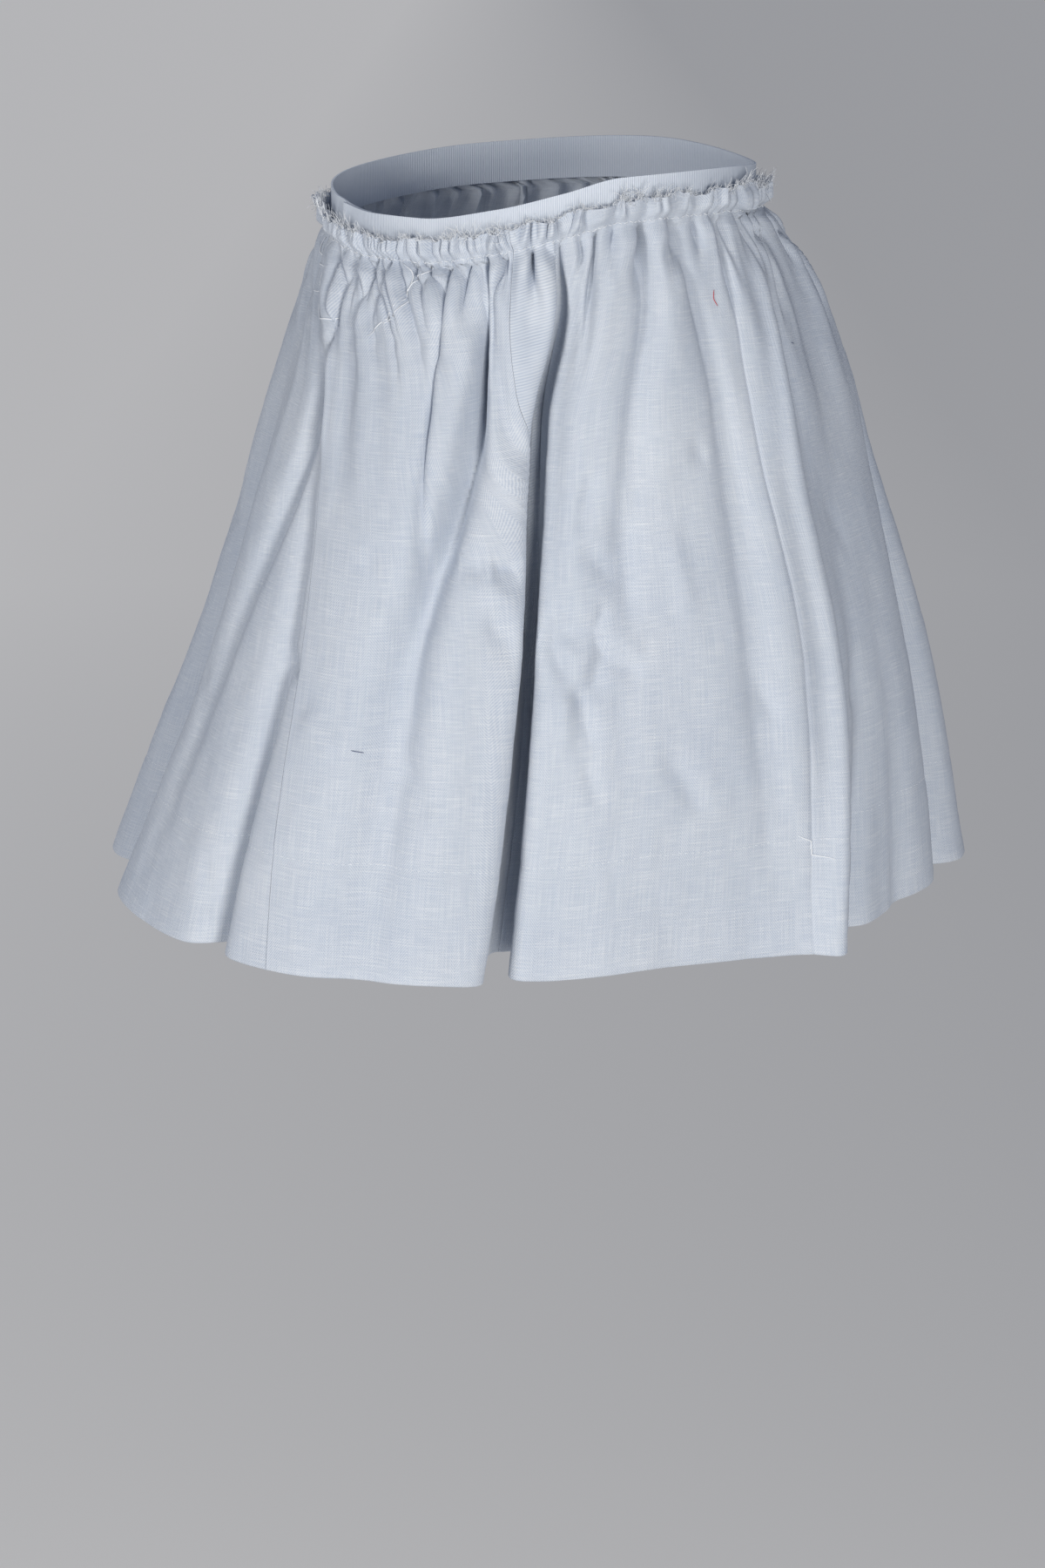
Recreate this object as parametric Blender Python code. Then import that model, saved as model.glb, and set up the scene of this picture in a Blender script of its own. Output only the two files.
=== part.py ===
"""A gathered mini skirt on a ribbon waist, kept in the hollow form it has when it is worn.

Frame: the origin is on the axis of the waist, between the highest and the lowest of its stitches.
-Y is the wearer's front, +X the wearer's left, +Z up. Lengths are in metres.
Angles are in degrees round the axis, 0 at the front and growing towards the wearer's left.
"""

import math

import bpy
import numpy as np

MM = 0.001

# Waist: the ribbon's outer face, an oval
WAIST_HALF_WIDTH = 0.1225
WAIST_HALF_DEPTH = 0.1008

# Line of the gathering stitches, low at the front: angle, height
STITCH_LINE = (
    (-90, -0.002),
    (-57, -0.009),
    (-20, -0.0175),
    (0, -0.0176),
    (26, -0.011),
    (45, -0.002),
    (60, 0.006),
    (88, 0.0085),
    (123, 0.006),
    (180, 0.012),
    (236, 0.006),
)

# Cloth: one layer, doubled where the hem is turned up
CLOTH_WALL = 1.1 * MM
HEM_WALL = 2.1 * MM
HEM_TURN_UP = 0.060
HEM_STEP = 0.001
SKIRT_LENGTH = 0.375
FRILL_HEIGHT = 0.012
SEAM_GAP = 0.3 * MM

# Ribbon: it stands above the stitches and ends just below them
RIBBON_WALL = 1.0 * MM
RIBBON_ABOVE = 0.022
RIBBON_BELOW = 0.001
RIBBON_FRONT_END = -38.0
RIBBON_LAP = 15.0
LAP_START = 9.0
LAP_BLEND = 7.0
RIBBON_COLUMNS = 110

# Looks: how rough the cloth and the ribbon are, the ribbon's colour, and the angle in degrees
# from which an edge is shown sharp
CLOTH_ROUGHNESS = 0.85
RIBBON_ROUGHNESS = 0.6
RIBBON_COLOUR = (0.55, 0.61, 0.74)
SHARP_ANGLE = 50.0

# The cloth's middle surface lies this far outside the ribbon's outer face
CLOTH_OFFSET = SEAM_GAP + CLOTH_WALL / 2

# Gathers: how many stand round the waist, and four columns of points to each
GATHERS = 72
COLUMNS_PER_GATHER = 4
SECTION_POINTS = 7201

# Small steps, in degrees and metres, from which the cloth's slope is read
NORMAL_TURN = 0.5
NORMAL_DROP = 0.003

# Rows of points, as distances down from the stitches; the frill stands above them
FRILL_ROWS = (-FRILL_HEIGHT, -0.4 * FRILL_HEIGHT)
GATHER_ROWS = (0.0, 0.009, 0.020, 0.034, 0.053)
BODY_ROWS = (0.078, 0.110, 0.148, 0.192, 0.238, 0.278)
TURN_UP_ROW = SKIRT_LENGTH - HEM_TURN_UP
FINE_ROWS = FRILL_ROWS + GATHER_ROWS
COARSE_ROWS = BODY_ROWS + (TURN_UP_ROW - HEM_STEP, TURN_UP_ROW, 0.345, SKIRT_LENGTH)

# Outer envelope at the hem: angle, radius, height
HEM = (
    (-67, 0.252, -0.363),
    (-30, 0.238, -0.370),
    (2, 0.228, -0.372),
    (20, 0.206, -0.375),
    (40, 0.172, -0.380),
    (60, 0.169, -0.378),
    (76, 0.178, -0.378),
    (90, 0.198, -0.377),
    (106, 0.203, -0.373),
    (118, 0.223, -0.366),
    (136, 0.248, -0.365),
    (168, 0.242, -0.361),
    (200, 0.240, -0.359),
    (232, 0.243, -0.359),
    (260, 0.247, -0.360),
)

# Flare: share of the way down, then the share of the widening reached there at the wearer's
# front right and at the rear left, where the hip pushes the cloth out sooner
FLARE = (
    (0.00, 0.000, 0.000),
    (0.03, 0.025, 0.050),
    (0.12, 0.105, 0.235),
    (0.26, 0.250, 0.440),
    (0.36, 0.345, 0.525),
    (0.47, 0.445, 0.630),
    (0.65, 0.610, 0.790),
    (0.84, 0.820, 0.920),
    (1.00, 1.000, 1.000),
)
FULL_HIP_ANGLE = 129.0

# Levels at which seams and long folds are read: waist, top of the hip, hip, thigh and hem,
# as shares of the way down
LEVELS = (0.0, 0.08, 0.25, 0.60, 1.0)

# Seams: name, angle at each level; the left front one ends inside the deep front fold
SEAMS = (
    ("opening seam", (-38, -29, -17, -7.5, 0)),
    ("left front seam", (31, 31, 33.4, 34.2, 29.6)),
    ("left side seam", (84, 84, 85, 90, 86)),
    ("right side seam", (272, 272, 272, 272, 272)),
)

# Panels, each from its seam to the next: name, spacing of its lower columns at the hem, colour
PANELS = (
    ("front_panel", 0.013, (0.62, 0.67, 0.76)),
    ("left_front_panel", 0.007, (0.60, 0.66, 0.75)),
    ("back_panel", 0.013, (0.58, 0.64, 0.73)),
    ("right_front_panel", 0.013, (0.61, 0.66, 0.75)),
)

# Long folds. Each row holds, for the levels, angles in degrees, depths in millimetres (a ridge
# is negative) and the half widths, in millimetres, at half of the depth. The last number says
# how steep the fold's sides are.
FOLDS = (
    ("deep front fold", (43, 43, 37.8, 35.4, 31), (4, 9, 28, 47, 56), (3.5, 4.5, 7, 7.5, 8), 3),
    ("front left groove", (13, 12.5, 12.5, 14, 14), (4, 4, 2.5, 0, 0), (3, 3, 4, 4, 4), 3),
    ("front left trough", (24, 24.5, 23.2, 12.5, 12), (5, 6, 7.5, 7, 4), (3, 4, 7, 11, 13), 3),
    ("front right trough", (64, 64, 59.5, 55.5, 55), (4, 4, 3.5, 1.5, 0), (3, 4, 7, 11, 11), 3),
    ("trough before the side seam", (72, 74, 79, 82.5, 83), (4, 4, 5, 6, 0), (3, 4, 6, 10, 10), 3),
    ("side ridge", (94, 93, 92.5, 96, 88.5), (-1, -3, -5, -8, -15), (4, 5, 7, 9, 8), 3),
    ("trough behind the ridge", (104, 102, 102, 106, 98), (0, 0, 0, 2, 14), (4, 5, 6, 8, 8), 3),
    ("left rear fold", (118, 116, 114, 114, 111), (0, 0, 0, 1, 4), (5, 5, 6, 7, 7), 3),
    ("left rear hollow", (130, 130, 130, 127, 125), (4, 5, 6, 22, 42), (4, 5, 8.5, 9.5, 9.5), 2.8),
    ("right side hollow", (-50, -50, -48, -47, -48), (0, 0, 1, 12, 38), (9, 9, 12, 14, 16), 2.4),
    ("front right hollow", (-26, -25, -20, -13.5, -11.5), (0, 0, 1.5, 9, 27), (5, 5, 6, 7, 8), 2.6),
    ("opening pleat", (-24, -24, -24.5, -30, -30), (2, 3, 3.5, 0, 0), (4, 4, 6, 7, 7), 3),
    ("first back fold", (149, 150, 151, 152, 152), (3, 3, 6, 22, 46), (3, 4, 8, 15, 19), 2.4),
    ("second back fold", (187, 186, 185, 184, 184), (4, 5, 9, 24, 44), (3, 4, 8, 14, 17), 2.4),
    ("third back fold", (213, 214, 215, 216, 217), (3, 3, 4, 16, 43), (3, 4, 8, 14, 18), 2.4),
    ("fourth back fold", (249, 248, 247, 246, 246), (3, 2, 3, 18, 42), (3, 4, 8, 14, 17), 2.4),
    ("fifth back fold", (273, 273, 275, 276, 277), (4, 4, 6, 18, 42), (3, 4, 8, 14, 18), 2.4),
)
GROOVE_POWER = 3.2

# The thread that starts in this fold stays at its bottom all the way down
HELD_FOLD = FOLDS[0]

# Short grooves that run down from the stitches: angle, drift of that angle over the
# groove's length, depth in millimetres, length in metres
SHORT_GROOVES = (
    (-75, -2, 4, 0.075),
    (-61, 2, 4, 0.060),
    (-50, 3, 3, 0.090),
    (-25, 0, 4, 0.030),
    (-14, -5, 4, 0.070),
    (-7, -2, 3, 0.050),
    (5, -1, 3, 0.040),
    (19, 1, 3, 0.030),
    (29, 0, 3, 0.022),
    (36, 0, 3, 0.045),
    (54, -8, 4, 0.075),
    (78, 1, 2, 0.030),
    (84, 0, 5, 0.070),
    (92, 3, 4, 0.045),
    (103, -4, 5, 0.070),
    (115, 0, 3, 0.040),
    (129, -9, 4, 0.085),
    (140, 1, 4, 0.060),
    (160, -2, 5, 0.085),
    (170, 1, 4, 0.040),
    (179, 0, 3, 0.055),
    (196, 2, 4, 0.075),
    (205, 0, 3, 0.040),
    (224, -2, 5, 0.080),
    (236, 1, 3, 0.045),
    (258, 2, 4, 0.075),
    (265, 0, 3, 0.040),
    (289, -1, 4, 0.070),
)
GROOVE_HALF_WIDTH = 2.6 * MM
STITCH_HOLD = 0.018

# Waves that the gathers merge into further down: gathers in each wave, height in
# millimetres, distance to its greatest height, distance at which it is gone
WAVES = (
    (1, 1.15, 0.010, 0.055),
    (2, 1.5, 0.030, 0.110),
    (4, 1.9, 0.060, 0.180),
)
FRILL_WAVE = 1.7 * MM
STITCH_WAVE = 0.8 * MM
FRILL_LEAN = 1.2 * MM

# The merged waves stray from side to side this much, this many times round the waist
WANDER = 0.9
WANDER_TURNS = 5

# Unevenness of the gathers: waves round the waist, strength, phase
SPACING = ((2, 7.0, 0.4), (7, 2.2, 1.9), (19, 0.5, 4.0))
HEIGHTS = ((3, 0.16, 0.7), (11, 0.20, 2.6), (23, 0.22, 5.1), (31, 0.14, 1.3))


def smooth_through(xs, ys, x):
    """Read a curve without overshoot through the points (xs, ys) at x."""
    xs = np.asarray(xs, float)
    ys = np.asarray(ys, float)
    steps = np.diff(xs)
    slopes = np.diff(ys) / steps
    tangents = np.zeros_like(ys)
    same_way = slopes[:-1] * slopes[1:] > 0
    near = slopes[:-1][same_way]
    far = slopes[1:][same_way]
    tangents[1:-1][same_way] = 2 * near * far / (near + far)
    tangents[0] = slopes[0]
    tangents[-1] = slopes[-1]
    x = np.clip(x, xs[0], xs[-1])
    cell = np.clip(np.searchsorted(xs, x, side="right") - 1, 0, len(xs) - 2)
    width = steps[cell]
    t = (x - xs[cell]) / width
    rise = t * t * (3 - 2 * t)
    return (ys[cell] * (1 - rise) + ys[cell + 1] * rise
            + width * (tangents[cell] * t * (1 - t) ** 2 - tangents[cell + 1] * t * t * (1 - t)))


def smooth_round(degrees, values, at):
    """Read a curve that closes on itself after 360 degrees."""
    degrees = np.asarray(degrees, float)
    values = np.asarray(values, float)
    turns = np.concatenate([degrees - 360, degrees, degrees + 360])
    start = degrees[0]
    at = (np.asarray(at, float) - start) % 360 + start
    return smooth_through(turns, np.tile(values, 3), at)


def smooth_step(x):
    """Rise from 0 to 1 as x goes from 0 to 1."""
    x = np.clip(x, 0, 1)
    return x * x * (3 - 2 * x)


def angle_between(a, b):
    """Give the signed angle from b to a, between -180 and 180 degrees."""
    return (a - b + 180) % 360 - 180


def waist_radius(deg):
    """Give the radius of the ribbon's outer face."""
    across = WAIST_HALF_DEPTH * np.sin(np.radians(deg))
    ahead = WAIST_HALF_WIDTH * np.cos(np.radians(deg))
    return WAIST_HALF_WIDTH * WAIST_HALF_DEPTH / np.hypot(across, ahead)


def stitch_height(deg):
    """Give the height of the gathering stitches."""
    return smooth_round([row[0] for row in STITCH_LINE], [row[1] for row in STITCH_LINE], deg)


def gather_phase(thread_deg):
    """Give the phase of the gathers, one full turn a gather, at an angle of the waist."""
    turn = np.radians(thread_deg)
    phase = GATHERS * turn
    for waves, strength, shift in SPACING:
        phase = phase + strength * (np.sin(waves * turn + shift) - math.sin(shift))
    return phase


def gather_size(thread_deg):
    """Give the relative height of the gathers, which is uneven round the waist."""
    turn = np.radians(thread_deg)
    size = np.ones_like(turn)
    for waves, strength, shift in HEIGHTS:
        size = size + strength * np.sin(waves * turn + shift)
    return size


def fold_shape(distance, half_width, power):
    """Give the rounded section of a fold, 1 along its middle and 1/2 at its half width."""
    return 1 / (1 + np.abs(distance / half_width) ** power)


def fold_depth(deg, down, radius):
    """Give how far the folds and grooves draw the cloth in at an angle and a distance down."""
    share = down / SKIRT_LENGTH
    depth = np.zeros_like(deg)
    for _, angles, depths, widths, power in FOLDS:
        middle = smooth_through(LEVELS, angles, share)
        half_width = smooth_through(LEVELS, widths, share) * MM
        arc = np.radians(angle_between(deg, middle)) * radius
        depth += smooth_through(LEVELS, depths, share) * MM * fold_shape(arc, half_width, power)
    for waist_deg, drift, groove_mm, length in SHORT_GROOVES:
        along = down / length
        arc = np.radians(angle_between(deg, waist_deg + drift * along)) * radius
        fade = 1 - smooth_step(along)
        depth += groove_mm * MM * fade * fold_shape(arc, GROOVE_HALF_WIDTH * (1 + along), GROOVE_POWER)
    return depth * smooth_step(down / STITCH_HOLD)


def gather_height(thread_deg, down):
    """Give how far the gathers stand out of the waist's curve."""
    phase = gather_phase(thread_deg)
    size = gather_size(thread_deg)
    if down < 0:
        up = -down / FRILL_HEIGHT
        height = STITCH_WAVE + (FRILL_WAVE - STITCH_WAVE) * up
        return size * height * (1 + np.cos(phase)) + FRILL_LEAN * up
    out = STITCH_WAVE * (1 - smooth_step(down / STITCH_HOLD)) * size * (1 + np.cos(phase))
    for merged, height_mm, full, gone in WAVES:
        rise = smooth_step(down / full)
        fall = 1 - smooth_step((down - full) / (gone - full))
        wander = (merged - 1) * WANDER * np.sin(np.radians(WANDER_TURNS * thread_deg) + merged)
        out += height_mm * MM * rise * fall * size * (1 + np.cos(phase / merged + wander))
    return out


def smooth_radius(deg, down):
    """Give the radius of the folded cloth, before its gathers, at an angle and a distance down."""
    share = max(down, 0.0) / SKIRT_LENGTH
    base = waist_radius(deg) + CLOTH_OFFSET
    hem_radius = smooth_round([row[0] for row in HEM], [row[1] for row in HEM], deg)
    shares = [row[0] for row in FLARE]
    slow, quick = (smooth_through(shares, [row[column] for row in FLARE], share) for column in (1, 2))
    towards_hip = (1 + np.cos(np.radians(deg - FULL_HIP_ANGLE))) / 2
    widening = slow + (quick - slow) * towards_hip
    radius = base + (hem_radius - base) * widening
    return radius - fold_depth(deg, max(down, 0.0), radius)


def thread_angle(thread_deg, down):
    """Give the angle of a thread at a distance down.

    Between two seams, or a seam and the held fold, the threads are spread evenly
    along the folded cloth.
    """
    share = max(down, 0.0) / SKIRT_LENGTH
    lines = sorted([row[1] for row in SEAMS] + [HELD_FOLD[1]])
    lines.append([angle + 360 for angle in lines[0]])
    waist = [angles[0] for angles in lines]
    held = [float(smooth_through(LEVELS, angles, share)) for angles in lines]
    turns = np.floor((thread_deg - waist[0]) / 360) * 360
    deg = np.linspace(held[0], held[-1], SECTION_POINTS)
    radius = smooth_radius(deg, down)
    turn = np.radians(deg)
    steps = np.hypot(np.diff(radius * np.sin(turn)), np.diff(radius * np.cos(turn)))
    length = np.concatenate([[0.0], np.cumsum(steps)])
    wanted = np.interp(thread_deg - turns, waist, np.interp(held, deg, length))
    return np.interp(wanted, length, deg) + turns


def cloth_row(thread_deg, down):
    """Give the points of the cloth's middle surface at one distance down."""
    share = max(down, 0.0) / SKIRT_LENGTH
    deg = thread_angle(thread_deg, down)
    radius = smooth_radius(deg, down) + gather_height(thread_deg, down)
    hem_height = smooth_round([row[0] for row in HEM], [row[2] for row in HEM], deg)
    height = stitch_height(deg) + (hem_height - stitch_height(deg)) * share - min(down, 0.0)
    turn = np.radians(deg)
    return np.stack([radius * np.sin(turn), -radius * np.cos(turn), height], axis=1)


def seam_threads():
    """Give the waist angles of the seams, the first one again after a full turn."""
    waist = [angles[0] for _, angles in SEAMS]
    return waist + [waist[0] + 360]


def gather_columns(start, end):
    """Find the columns of a panel's gathers: crests, valleys and the points between them.

    Those that lie less than half a step from a seam are left out.
    """
    trial = np.linspace(start, end, SECTION_POINTS)
    quarter = 2 * math.pi / COLUMNS_PER_GATHER
    steps = gather_phase(trial) / quarter
    first = math.ceil(steps[0] + 0.5)
    last = math.floor(steps[-1] - 0.5)
    inner = np.interp(np.arange(first, last + 1), steps, trial)
    return np.concatenate([[start], inner, [end]])


def even_columns(start, end, spacing):
    """Find the columns of a panel's lower part, evenly spaced along its hem."""
    held = HELD_FOLD[1][0]
    stops = [start, held, end] if start < held < end else [start, end]
    columns = [np.array([start])]
    for near, far in zip(stops, stops[1:]):
        points = cloth_row(np.linspace(near, far, SECTION_POINTS), SKIRT_LENGTH)
        length = np.linalg.norm(np.diff(points, axis=0), axis=1).sum()
        columns.append(np.linspace(near, far, round(length / spacing) + 1)[1:])
    return np.concatenate(columns)


def cloth_normals(thread_deg, down):
    """Give the outward normals of the cloth's middle surface."""
    along = cloth_row(thread_deg + NORMAL_TURN, down) - cloth_row(thread_deg - NORMAL_TURN, down)
    above = max(down - NORMAL_DROP, -FRILL_HEIGHT)
    below = min(down + NORMAL_DROP, SKIRT_LENGTH)
    if down >= 0:
        above = max(above, 0.0)
    else:
        below = min(below, 0.0)
    normals = np.cross(cloth_row(thread_deg, below) - cloth_row(thread_deg, above), along)
    return normals / np.linalg.norm(normals, axis=1, keepdims=True)


def band_faces(upper, lower, upper_at, lower_at):
    """Join two rows of point numbers, whose places along the row may differ."""
    faces = []
    i = 0
    j = 0
    while i < len(upper) - 1 or j < len(lower) - 1:
        next_upper = upper_at[i + 1] if i < len(upper) - 1 else math.inf
        next_lower = lower_at[j + 1] if j < len(lower) - 1 else math.inf
        if next_upper == next_lower:
            faces.append((lower[j], lower[j + 1], upper[i + 1], upper[i]))
            i += 1
            j += 1
        elif next_upper < next_lower:
            faces.append((lower[j], upper[i + 1], upper[i]))
            i += 1
        else:
            faces.append((lower[j], lower[j + 1], upper[i]))
            j += 1
    return faces


def edge_faces(outer_ends, inner_ends):
    """Close the wall along its first column, facing back along the row.

    The split of each face into two triangles is the same on both sides of a seam.
    """
    faces = []
    for i in range(len(outer_ends) - 1):
        faces.append((inner_ends[i + 1], outer_ends[i], inner_ends[i]))
        faces.append((inner_ends[i + 1], outer_ends[i + 1], outer_ends[i]))
    return faces


def closed_wall(name, places, outer_rows, inner_rows, material):
    """Make one closed body from the outer and inner rows of an open strip of cloth.

    places holds, for each row, where its points are along the row.
    """
    points = []
    outer = []
    inner = []
    for rows, numbers in ((outer_rows, outer), (inner_rows, inner)):
        for row in rows:
            numbers.append(list(range(len(points), len(points) + len(row))))
            points.extend(tuple(point) for point in row)
    faces = []
    for row in range(len(outer) - 1):
        beside = places[row], places[row + 1]
        faces.extend(band_faces(outer[row], outer[row + 1], *beside))
        faces.extend(face[::-1] for face in band_faces(inner[row], inner[row + 1], *beside))
    for j in range(len(outer[0]) - 1):
        faces.append((outer[0][j], outer[0][j + 1], inner[0][j + 1], inner[0][j]))
    for j in range(len(outer[-1]) - 1):
        faces.append((inner[-1][j], inner[-1][j + 1], outer[-1][j + 1], outer[-1][j]))
    faces.extend(edge_faces([row[0] for row in outer], [row[0] for row in inner]))
    faces.extend(face[::-1] for face in edge_faces([row[-1] for row in outer], [row[-1] for row in inner]))
    mesh = bpy.data.meshes.new(name)
    mesh.from_pydata(points, [], faces)
    mesh.materials.append(material)
    mesh.shade_smooth()
    mesh.set_sharp_from_angle(angle=math.radians(SHARP_ANGLE))
    thing = bpy.data.objects.new(name, mesh)
    bpy.context.scene.collection.objects.link(thing)
    return thing


def make_material(name, colour, roughness):
    """Make a plain cloth material."""
    material = bpy.data.materials.new(name)
    material.use_nodes = True
    shader = material.node_tree.nodes["Principled BSDF"]
    shader.inputs["Base Color"].default_value = (*colour, 1.0)
    shader.inputs["Roughness"].default_value = roughness
    shader.inputs["Metallic"].default_value = 0.0
    return material


def wall_at(down):
    """Give the distances of the outer and inner faces from the middle surface."""
    inner = CLOTH_WALL / 2 if down < TURN_UP_ROW else HEM_WALL - CLOTH_WALL / 2
    return CLOTH_WALL / 2, inner


def trimmed(row):
    """Draw the two ends of a row in by half a seam gap."""
    row = row.copy()
    for end, beside in ((0, 1), (-1, -2)):
        way = row[beside] - row[end]
        row[end] += way / np.linalg.norm(way) * SEAM_GAP / 2
    return row


def make_panels():
    """Build the four panels, each with its share of the heading frill and of the hem."""
    threads = seam_threads()
    for number, (name, spacing, colour) in enumerate(PANELS):
        start, end = threads[number:number + 2]
        fine = gather_columns(start, end)
        coarse = even_columns(start, end, spacing)
        places = [fine] * len(FINE_ROWS) + [coarse] * len(COARSE_ROWS)
        outer_rows = []
        inner_rows = []
        for columns, down in zip(places, FINE_ROWS + COARSE_ROWS):
            outside, inside = wall_at(down)
            middle = trimmed(cloth_row(columns, down))
            normals = cloth_normals(columns, down)
            outer_rows.append(middle + normals * outside)
            inner_rows.append(middle - normals * inside)
        material = make_material(name, colour, CLOTH_ROUGHNESS)
        closed_wall(name, places, outer_rows, inner_rows, material)


def make_ribbon():
    """Build the waist ribbon, whose front end lies over its other end."""
    deg = np.linspace(RIBBON_FRONT_END, RIBBON_FRONT_END + 360 + RIBBON_LAP, RIBBON_COLUMNS)
    under = smooth_step((deg - (RIBBON_FRONT_END + 360 - LAP_START)) / LAP_BLEND)
    outer_radius = waist_radius(deg) - under * (RIBBON_WALL + SEAM_GAP)
    turn = np.radians(deg)
    outer_rows = []
    inner_rows = []
    lifts = (RIBBON_ABOVE, -RIBBON_BELOW)
    for lift in lifts:
        height = stitch_height(deg) + lift
        for rows, radius in ((outer_rows, outer_radius), (inner_rows, outer_radius - RIBBON_WALL)):
            rows.append(np.stack([radius * np.sin(turn), -radius * np.cos(turn), height], axis=1))
    material = make_material("waist_ribbon", RIBBON_COLOUR, RIBBON_ROUGHNESS)
    closed_wall("waist_ribbon", [deg] * len(lifts), outer_rows, inner_rows, material)


def main():
    for thing in list(bpy.data.objects):
        bpy.data.objects.remove(thing, do_unlink=True)
    make_panels()
    make_ribbon()


main()
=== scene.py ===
"""Looks of the gathered mini skirt on its ribbon waist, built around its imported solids.

Frame and lengths are the solids' own: metres, -Y the wearer's front, +X the wearer's left,
+Z up. Angles are in degrees round the waist's axis, 0 at the front and growing towards the
wearer's left. A thread is a line of the cloth's grain, named by its angle at the waist.
"""

import math
import random

import bpy
import numpy as np
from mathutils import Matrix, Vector, noise


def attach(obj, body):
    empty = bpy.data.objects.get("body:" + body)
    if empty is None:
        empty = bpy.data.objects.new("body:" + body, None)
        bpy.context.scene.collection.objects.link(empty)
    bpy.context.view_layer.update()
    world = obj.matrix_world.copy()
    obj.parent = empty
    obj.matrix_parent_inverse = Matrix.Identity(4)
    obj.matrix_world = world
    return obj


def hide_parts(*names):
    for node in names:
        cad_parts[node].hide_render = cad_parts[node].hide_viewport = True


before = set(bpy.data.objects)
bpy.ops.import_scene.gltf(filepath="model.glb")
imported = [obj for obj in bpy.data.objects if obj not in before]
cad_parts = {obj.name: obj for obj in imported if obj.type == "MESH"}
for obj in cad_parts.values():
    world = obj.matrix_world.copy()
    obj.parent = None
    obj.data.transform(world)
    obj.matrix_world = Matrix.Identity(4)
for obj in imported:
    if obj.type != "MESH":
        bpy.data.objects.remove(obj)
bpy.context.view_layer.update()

# The cloth's form, from the same sizes as its solids

MM = 0.001

# Waist: the ribbon's outer face, an oval
WAIST_HALF_WIDTH = 0.1225
WAIST_HALF_DEPTH = 0.1008

# Line of the gathering stitches, low at the front: angle, height
STITCH_LINE = (
    (-90, -0.002),
    (-57, -0.009),
    (-20, -0.0175),
    (0, -0.0176),
    (26, -0.011),
    (45, -0.002),
    (60, 0.006),
    (88, 0.0085),
    (123, 0.006),
    (180, 0.012),
    (236, 0.006),
)

# Cloth: one layer, turned up inside at the hem
CLOTH_WALL = 1.1 * MM
HEM_TURN_UP = 0.060
SKIRT_LENGTH = 0.375
FRILL_HEIGHT = 0.012
SEAM_GAP = 0.3 * MM

# Ribbon: it stands above the stitches and ends just below them
RIBBON_WALL = 1.0 * MM
RIBBON_ABOVE = 0.022
RIBBON_BELOW = 0.001
RIBBON_FRONT_END = -38.0
RIBBON_LAP = 15.0
LAP_START = 9.0
LAP_BLEND = 7.0

# The cloth's middle surface lies this far outside the ribbon's outer face
CLOTH_OFFSET = SEAM_GAP + CLOTH_WALL / 2

# Gathers round the waist, and the points at which a level of the folded cloth is measured
GATHERS = 72
SECTION_POINTS = 7201

# Outer envelope at the hem: angle, radius, height
HEM = (
    (-67, 0.252, -0.363),
    (-30, 0.238, -0.370),
    (2, 0.228, -0.372),
    (20, 0.206, -0.375),
    (40, 0.172, -0.380),
    (60, 0.169, -0.378),
    (76, 0.178, -0.378),
    (90, 0.198, -0.377),
    (106, 0.203, -0.373),
    (118, 0.223, -0.366),
    (136, 0.248, -0.365),
    (168, 0.242, -0.361),
    (200, 0.240, -0.359),
    (232, 0.243, -0.359),
    (260, 0.247, -0.360),
)

# Flare: share of the way down, then the share of the widening reached there at the wearer's
# front right and at the rear left, where the hip pushes the cloth out sooner
FLARE = (
    (0.00, 0.000, 0.000),
    (0.03, 0.025, 0.050),
    (0.12, 0.105, 0.235),
    (0.26, 0.250, 0.440),
    (0.36, 0.345, 0.525),
    (0.47, 0.445, 0.630),
    (0.65, 0.610, 0.790),
    (0.84, 0.820, 0.920),
    (1.00, 1.000, 1.000),
)
FULL_HIP_ANGLE = 129.0

# Levels at which seams and long folds are read: waist, top of the hip, hip, thigh and hem,
# as shares of the way down
LEVELS = (0.0, 0.08, 0.25, 0.60, 1.0)

# Seams: name, angle at each level; the left front one ends inside the deep front fold
SEAMS = (
    ("opening seam", (-38, -29, -17, -7.5, 0)),
    ("left front seam", (31, 31, 33.4, 34.1, 29.2)),
    ("left side seam", (84, 84, 85, 90, 86)),
    ("right side seam", (272, 272, 272, 272, 272)),
)

# Panels, each from its seam to the next: name, columns of points to each gather
PANELS = (
    ("front_panel", 16),
    ("left_front_panel", 18),
    ("back_panel", 10),
    ("right_front_panel", 14),
)

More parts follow.
